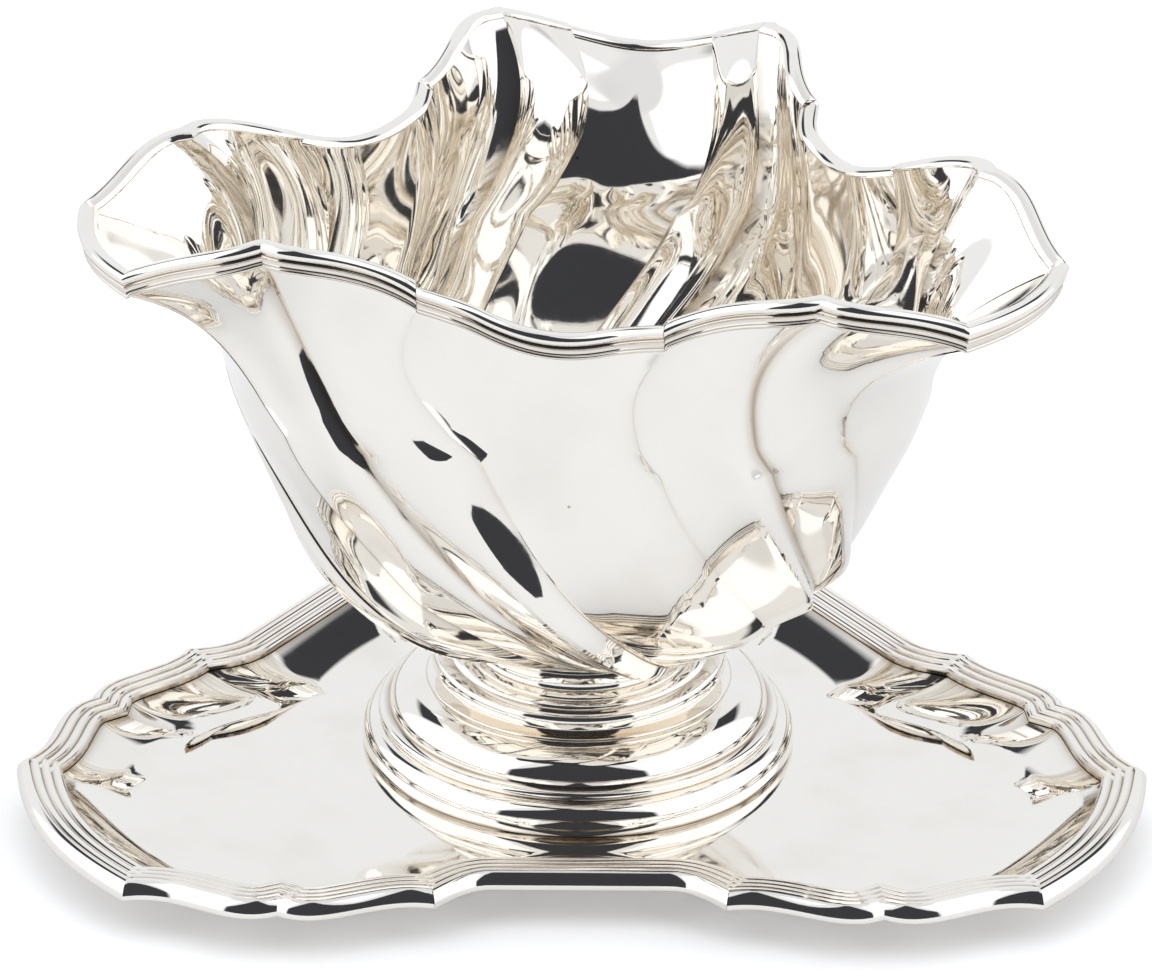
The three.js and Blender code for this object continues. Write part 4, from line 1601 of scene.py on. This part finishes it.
@dataclass(frozen=True)
class Stem:
    """The collar and the neck that carry the bowl."""

    collar_radius: float = 27.6
    collar_low: float = 17.5
    collar_lip: float = 20.2
    collar_top: float = 21.5
    cove: float = 3.2
    cove_height: float = 1.2
    edge_round: float = 0.8
    lip_step: float = 0.2
    crown_height: float = CROWN_HEIGHT
    crown_gap: float = 0.02
    foot_length: float = 2.7
    neck_radius: float = 19.7
    neck_top: float = NECK_TOP
    toe: float = 0.7
    bead: float = 1.5
    bead_height: float = 1.1
    bore: float = 16.7

    def collar_profile(self) -> Section:
        """Returns the profile of the collar, with a foot that is long enough to be cut."""
        foot = self.collar_radius - self.cove
        start = self.crown_height - self.foot_length
        cove_foot = (foot, self.collar_low - self.cove_height)
        edge = (self.collar_radius, self.collar_low)
        lip = (self.collar_radius - self.edge_round, self.collar_lip)
        top = (self.neck_radius + self.bead, self.collar_top)
        # Third numbers darken the silver: tarnish and painted shade under the collar, at the cove's foot, the
        # lip step and the bore.
        return [
            (self.bore, start, TarnishAndShade.FAIR),
            (foot, start, TarnishAndShade.DEEP),
            (*cove_foot, TarnishAndShade.FAIR),
            *quarter_round(cove_foot, edge, Start.UPRIGHT),
            *quarter_round(edge, lip, Start.UPRIGHT),
            (foot + self.lip_step, self.collar_lip, TarnishAndShade.STRONG),
            *quarter_round((foot, self.collar_lip), top, Start.UPRIGHT),
            (self.bore, self.collar_top, TarnishAndShade.FAIR),
        ]

    def neck_profile(self) -> Section:
        """Returns the profile of the neck: a scotia and the bead that the bowl stands on."""
        base = self.collar_top + SEAM
        bead = (self.neck_radius + self.bead, self.neck_top - self.bead_height)
        waist = (self.neck_radius, (base + bead[1]) / 2)
        toe = (self.neck_radius + self.toe, base)
        # Third numbers darken the silver: tarnish and painted shade at the neck's toe, the bead's top and the
        # bore.
        return [
            (self.bore, base, TarnishAndShade.FAIR),
            (*toe, TarnishAndShade.STRONG),
            *quarter_round(toe, waist, Start.LEVEL),
            *quarter_round(waist, bead, Start.UPRIGHT),
            (bead[0], self.neck_top, TarnishAndShade.LIGHT),
            (self.bore, self.neck_top, TarnishAndShade.FAIR),
        ]

    def build(self, moulding: Moulding, lean: Lean) -> None:
        """Builds collar and neck, and cuts the collar's foot to the level crown.

        Args:
            moulding: What turns them.
            lean: How the boat leans.
        """
        sharpest_smooth = 32.0
        lowest = (self.crown_height + self.crown_gap) * MM
        for name, profile in {"collar": self.collar_profile(), "neck": self.neck_profile()}.items():
            mesh = moulding.ring(name, profile)
            mesh.transform(lean.matrix())
            for vertex in mesh.vertices:
                vertex.co.z = max(vertex.co.z, lowest)
            set_up_piece(name, mesh, Slot.BRIGHT, sharpest_smooth)


@dataclass(frozen=True)
class Patch:
    """A patch of the room that the silver reflects.

    Its sides run from 0 in front to 180 behind, alike on the left and the right, and its heights
    run up from the horizon, in degrees. Above the studio's narrowing height a patch gets smaller
    by its narrowing, in degrees of side for each degree of height.
    """

    colour: tuple[float, float, float]
    sides: tuple[float, float] = (-180.0, 360.0)
    heights: tuple[float, float] = (-180.0, 180.0)
    soft_side: float = 3.0
    soft_height: float = 3.0
    narrowing: float = 0.0


@dataclass(frozen=True)
class Lamp:
    """A soft square lamp that points at the object: place and size in metres, power in watts."""

    name: str
    place: tuple[float, float, float]
    size: float
    power: float

    def hang(self) -> None:
        """Hangs the lamp, which the silver doesn't mirror."""
        data = bpy.data.lights.new(self.name, "AREA")
        data.energy = self.power
        data.size = self.size
        lamp = bpy.data.objects.new(self.name, data)
        lamp.location = self.place
        lamp.rotation_euler = (-lamp.location).to_track_quat("-Z", "Y").to_euler()
        lamp.visible_glossy = False
        bpy.context.scene.collection.objects.link(lamp)


@dataclass(frozen=True)
class Studio:
    """Floor, light and camera. Places are in metres, angles in degrees and the lens in millimetres."""

    lens: float = 88.0
    sensor: float = 36.0
    nearest: float = 0.01
    aim: tuple[float, float, float] = (-0.000906, 0.0, 0.05156)
    distance: float = 0.5148
    elevation: float = 23.137
    roll: float = 0.639
    floor_size: float = 8.0
    floor_front: float = 0.8
    floor_drop: float = 0.0001
    floor_grey: float = 0.72
    floor_grain: float = 0.02
    floor_grain_scale: float = 400.0
    floor_roughness: float = 0.9
    floor_lift: float = 0.33
    mirrored_lift: float = 0.04
    plain_room: tuple[float, float, float] = (0.88, 0.905, 0.94)
    narrowing_height: float = 25.0
    ceiling: Patch = Patch((0.79, 0.81, 0.845), heights=(66.0, 180.0), soft_height=6.0)
    soft_box: Patch = Patch((1.24, 1.27, 1.33), (38.0, 126.0), (-60.0, 70.0))
    front: Patch = Patch(
        (0.045, 0.047, 0.055), (-180.0, 42.0), (-60.0, 86.0), soft_height=6.0, narrowing=0.45
    )
    gap: Patch = Patch((0.045, 0.047, 0.055), (126.0, 152.0), (30.0, 50.0), soft_height=4.0)
    lamps: tuple[Lamp, ...] = (
        Lamp("top_lamp", (0.0, -0.1, 1.5), 1.6, 7.0),
        Lamp("left_lamp", (-1.2, -0.7, 0.9), 0.9, 3.5),
        Lamp("right_lamp", (1.2, -0.7, 0.9), 0.9, 3.5),
    )
    glossy_bounces: int = 10
    max_bounces: int = 14

    def camera(self) -> None:
        """Sets up the camera at the photo's viewing angle."""
        tilt, roll = math.radians(self.elevation), math.radians(self.roll)
        forward = Vector((0, math.cos(tilt), -math.sin(tilt)))
        right = Vector((1, 0, 0))
        up = right.cross(forward)
        across = right * math.cos(roll) + up * math.sin(roll)
        upright = up * math.cos(roll) - right * math.sin(roll)
        turn = Matrix((across, upright, -forward)).transposed().to_4x4()
        turn.translation = Vector(self.aim) - forward * self.distance
        data = bpy.data.cameras.new("photo_camera")
        data.lens = self.lens
        data.sensor_width = self.sensor
        data.sensor_fit = "HORIZONTAL"
        data.clip_start = self.nearest
        camera = bpy.data.objects.new("photo_camera", data)
        camera.matrix_world = turn
        bpy.context.scene.collection.objects.link(camera)
        bpy.context.scene.camera = camera

    def floor(self) -> None:
        """Lays the plain white paper, which shows the object's shadow."""
        side = self.floor_size / 2
        edges = ((-side, -self.floor_front), (side, -self.floor_front), (side, side), (-side, side))
        corners = np.array([(x, y, -self.floor_drop) for x, y in edges]) / MM
        floor = bare_object("floor", corners, [(0, 1, 2, 3)], {})
        paper = bpy.data.materials.new("white paper")
        paper.use_nodes = True
        sketch = NodeSketch(paper.node_tree)
        shader = paper.node_tree.nodes["Principled BSDF"]
        place = sketch.add("ShaderNodeTexCoord").outputs["Object"]
        fibres = {"Vector": place, "Scale": self.floor_grain_scale}
        grain = sketch.add("ShaderNodeTexNoise", fibres).outputs[0]
        greys = (self.floor_grey, self.floor_grey + self.floor_grain)
        colour = sketch.mix(grain, *((grey, grey, grey, 1.0) for grey in greys))
        path = sketch.add("ShaderNodeLightPath")
        seen = sketch.sum("MULTIPLY", path.outputs["Is Camera Ray"], self.floor_lift)
        mirrored = sketch.sum("MULTIPLY", path.outputs["Is Glossy Ray"], self.mirrored_lift)
        look = {
            "Base Color": colour,
            "Roughness": self.floor_roughness,
            "Specular IOR Level": 0.0,
            "Emission Color": (1.0, 1.0, 1.0, 1.0),
            "Emission Strength": sketch.sum("MAXIMUM", seen, mirrored),
        }
        for name, value in look.items():
            sketch.feed(shader.inputs[name], value)
        floor.data.materials.append(paper)
        floor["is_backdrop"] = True

    def room(self) -> None:
        """Paints the room: each patch over those before it, and plain white for the camera."""
        world = bpy.data.worlds.new("studio")
        world.use_nodes = True
        bpy.context.scene.world = world
        sketch = NodeSketch(world.node_tree)
        background = world.node_tree.nodes["Background"]
        direction = sketch.add("ShaderNodeTexCoord").outputs["Generated"]
        x, y, z = sketch.add("ShaderNodeSeparateXYZ", {"Vector": direction}).outputs
        side = sketch.sum("ABSOLUTE", sketch.sum("ARCTAN2", x, sketch.sum("MULTIPLY", y, -1.0)))
        height = sketch.sum("ARCSINE", z)
        narrowing_height = math.radians(self.narrowing_height)
        above = sketch.sum("MAXIMUM", sketch.sum("SUBTRACT", height, narrowing_height), 0.0)
        colour: object = (*self.plain_room, 1.0)
        for patch in (self.ceiling, self.soft_box, self.front, self.gap):
            leaning = sketch.sum("ADD", side, sketch.sum("MULTIPLY", above, patch.narrowing))
            round_about = sketch.window(leaning, *map(math.radians, (*patch.sides, patch.soft_side)))
            upwards = sketch.window(height, *map(math.radians, (*patch.heights, patch.soft_height)))
            mask = sketch.sum("MULTIPLY", round_about, upwards)
            colour = sketch.mix(mask, colour, (*patch.colour, 1.0))
        path = sketch.add("ShaderNodeLightPath")
        colour = sketch.mix(path.outputs["Is Camera Ray"], colour, (1.0, 1.0, 1.0, 1.0))
        sketch.feed(background.inputs["Color"], colour)

    def build(self) -> None:
        """Sets up the whole studio."""
        self.camera()
        self.floor()
        self.room()
        for lamp in self.lamps:
            lamp.hang()
        bpy.context.scene.view_settings.view_transform = "Standard"
        bpy.context.scene.cycles.glossy_bounces = self.glossy_bounces
        bpy.context.scene.cycles.max_bounces = self.max_bounces


def tray_outline() -> Outline:
    """Returns the outline of the tray."""
    level = 10.3
    return Outline(
        tip_radius=105.0,
        tip_angle=13.9,
        tip_height=level,
        tip_dip=25.0,
        notch_radius=91.8,
        notch_angle=27.2,
        notch_heights=((level, level),) * 3,
        corner_radius=78.4,
        corner_angle=42.2,
        corner_heights=((level, level),) * 3,
        side_heights=(level,) * 3,
        side_step=6.2,
        turn=0.5,
        lobe_reach=(0.0, 1.2, 0.0),
    )


def bowl_outline() -> Outline:
    """Returns the outline of the bowl's wavy rim, with what hand work left in it."""
    return Outline(
        tip_radius=85.8,
        tip_angle=11.2,
        tip_height=111.5,
        tip_dip=12.0,
        notch_radius=70.1,
        notch_angle=23.5,
        notch_heights=((118.7, 118.7), (115.2, 120.0), (120.0, 120.0)),
        corner_radius=56.5,
        corner_angle=41.8,
        corner_heights=((112.0, 112.0), (108.0, 112.5), (113.0, 112.5)),
        side_heights=(103.6, 108.5, 108.5),
        side_step=4.0,
        turn=-7.6,
        arch=1.8,
        nose_rises=(0.0, 0.0, -3.5),
        lobe_turns=(-1.9, 2.1, -0.2),
    )


def main() -> None:
    """Builds the sauce boat's looks and its studio."""
    logging.basicConfig(level=logging.INFO, format="%(name)s: %(message)s")
    shop = Workshop()
    finishes = (
        SilverFinish("bowl silver"),
        SilverFinish("tray silver", beat_scale=24.0, beat_height=0.00004, speck_scale=70.0),
        SilverFinish("foot silver", beat_scale=60.0, beat_height=0.00001),
        SilverFinish("border silver", beat_scale=90.0, beat_height=0.00001, gloss=0.05),
    )
    bowl_silver, tray_silver, foot_silver, border_silver = (shop.dressed(finish) for finish in finishes)
    lean = Lean()
    tray_stations = tray_outline().stations()
    bowl_stations = bowl_outline().stations()
    border = Moulding(shop.moulding, border_silver)
    turning = Moulding(shop.moulding, foot_silver)
    Studio().build()
    Tray().build(tray_stations, shop, tray_silver)
    TrayBorder().build(tray_stations, border)
    Foot().build(turning)
    Stem().build(turning, lean)
    BowlWall().build(bowl_stations, shop, bowl_silver, lean)
    BowlBorder().build(bowl_stations, border, lean)
    boxes = {"cad": cad_box, "visual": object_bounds()}
    sizes = {key: [list(map(float, corner)) for corner in box] for key, box in boxes.items()}


if __name__ == "__main__":
    main()
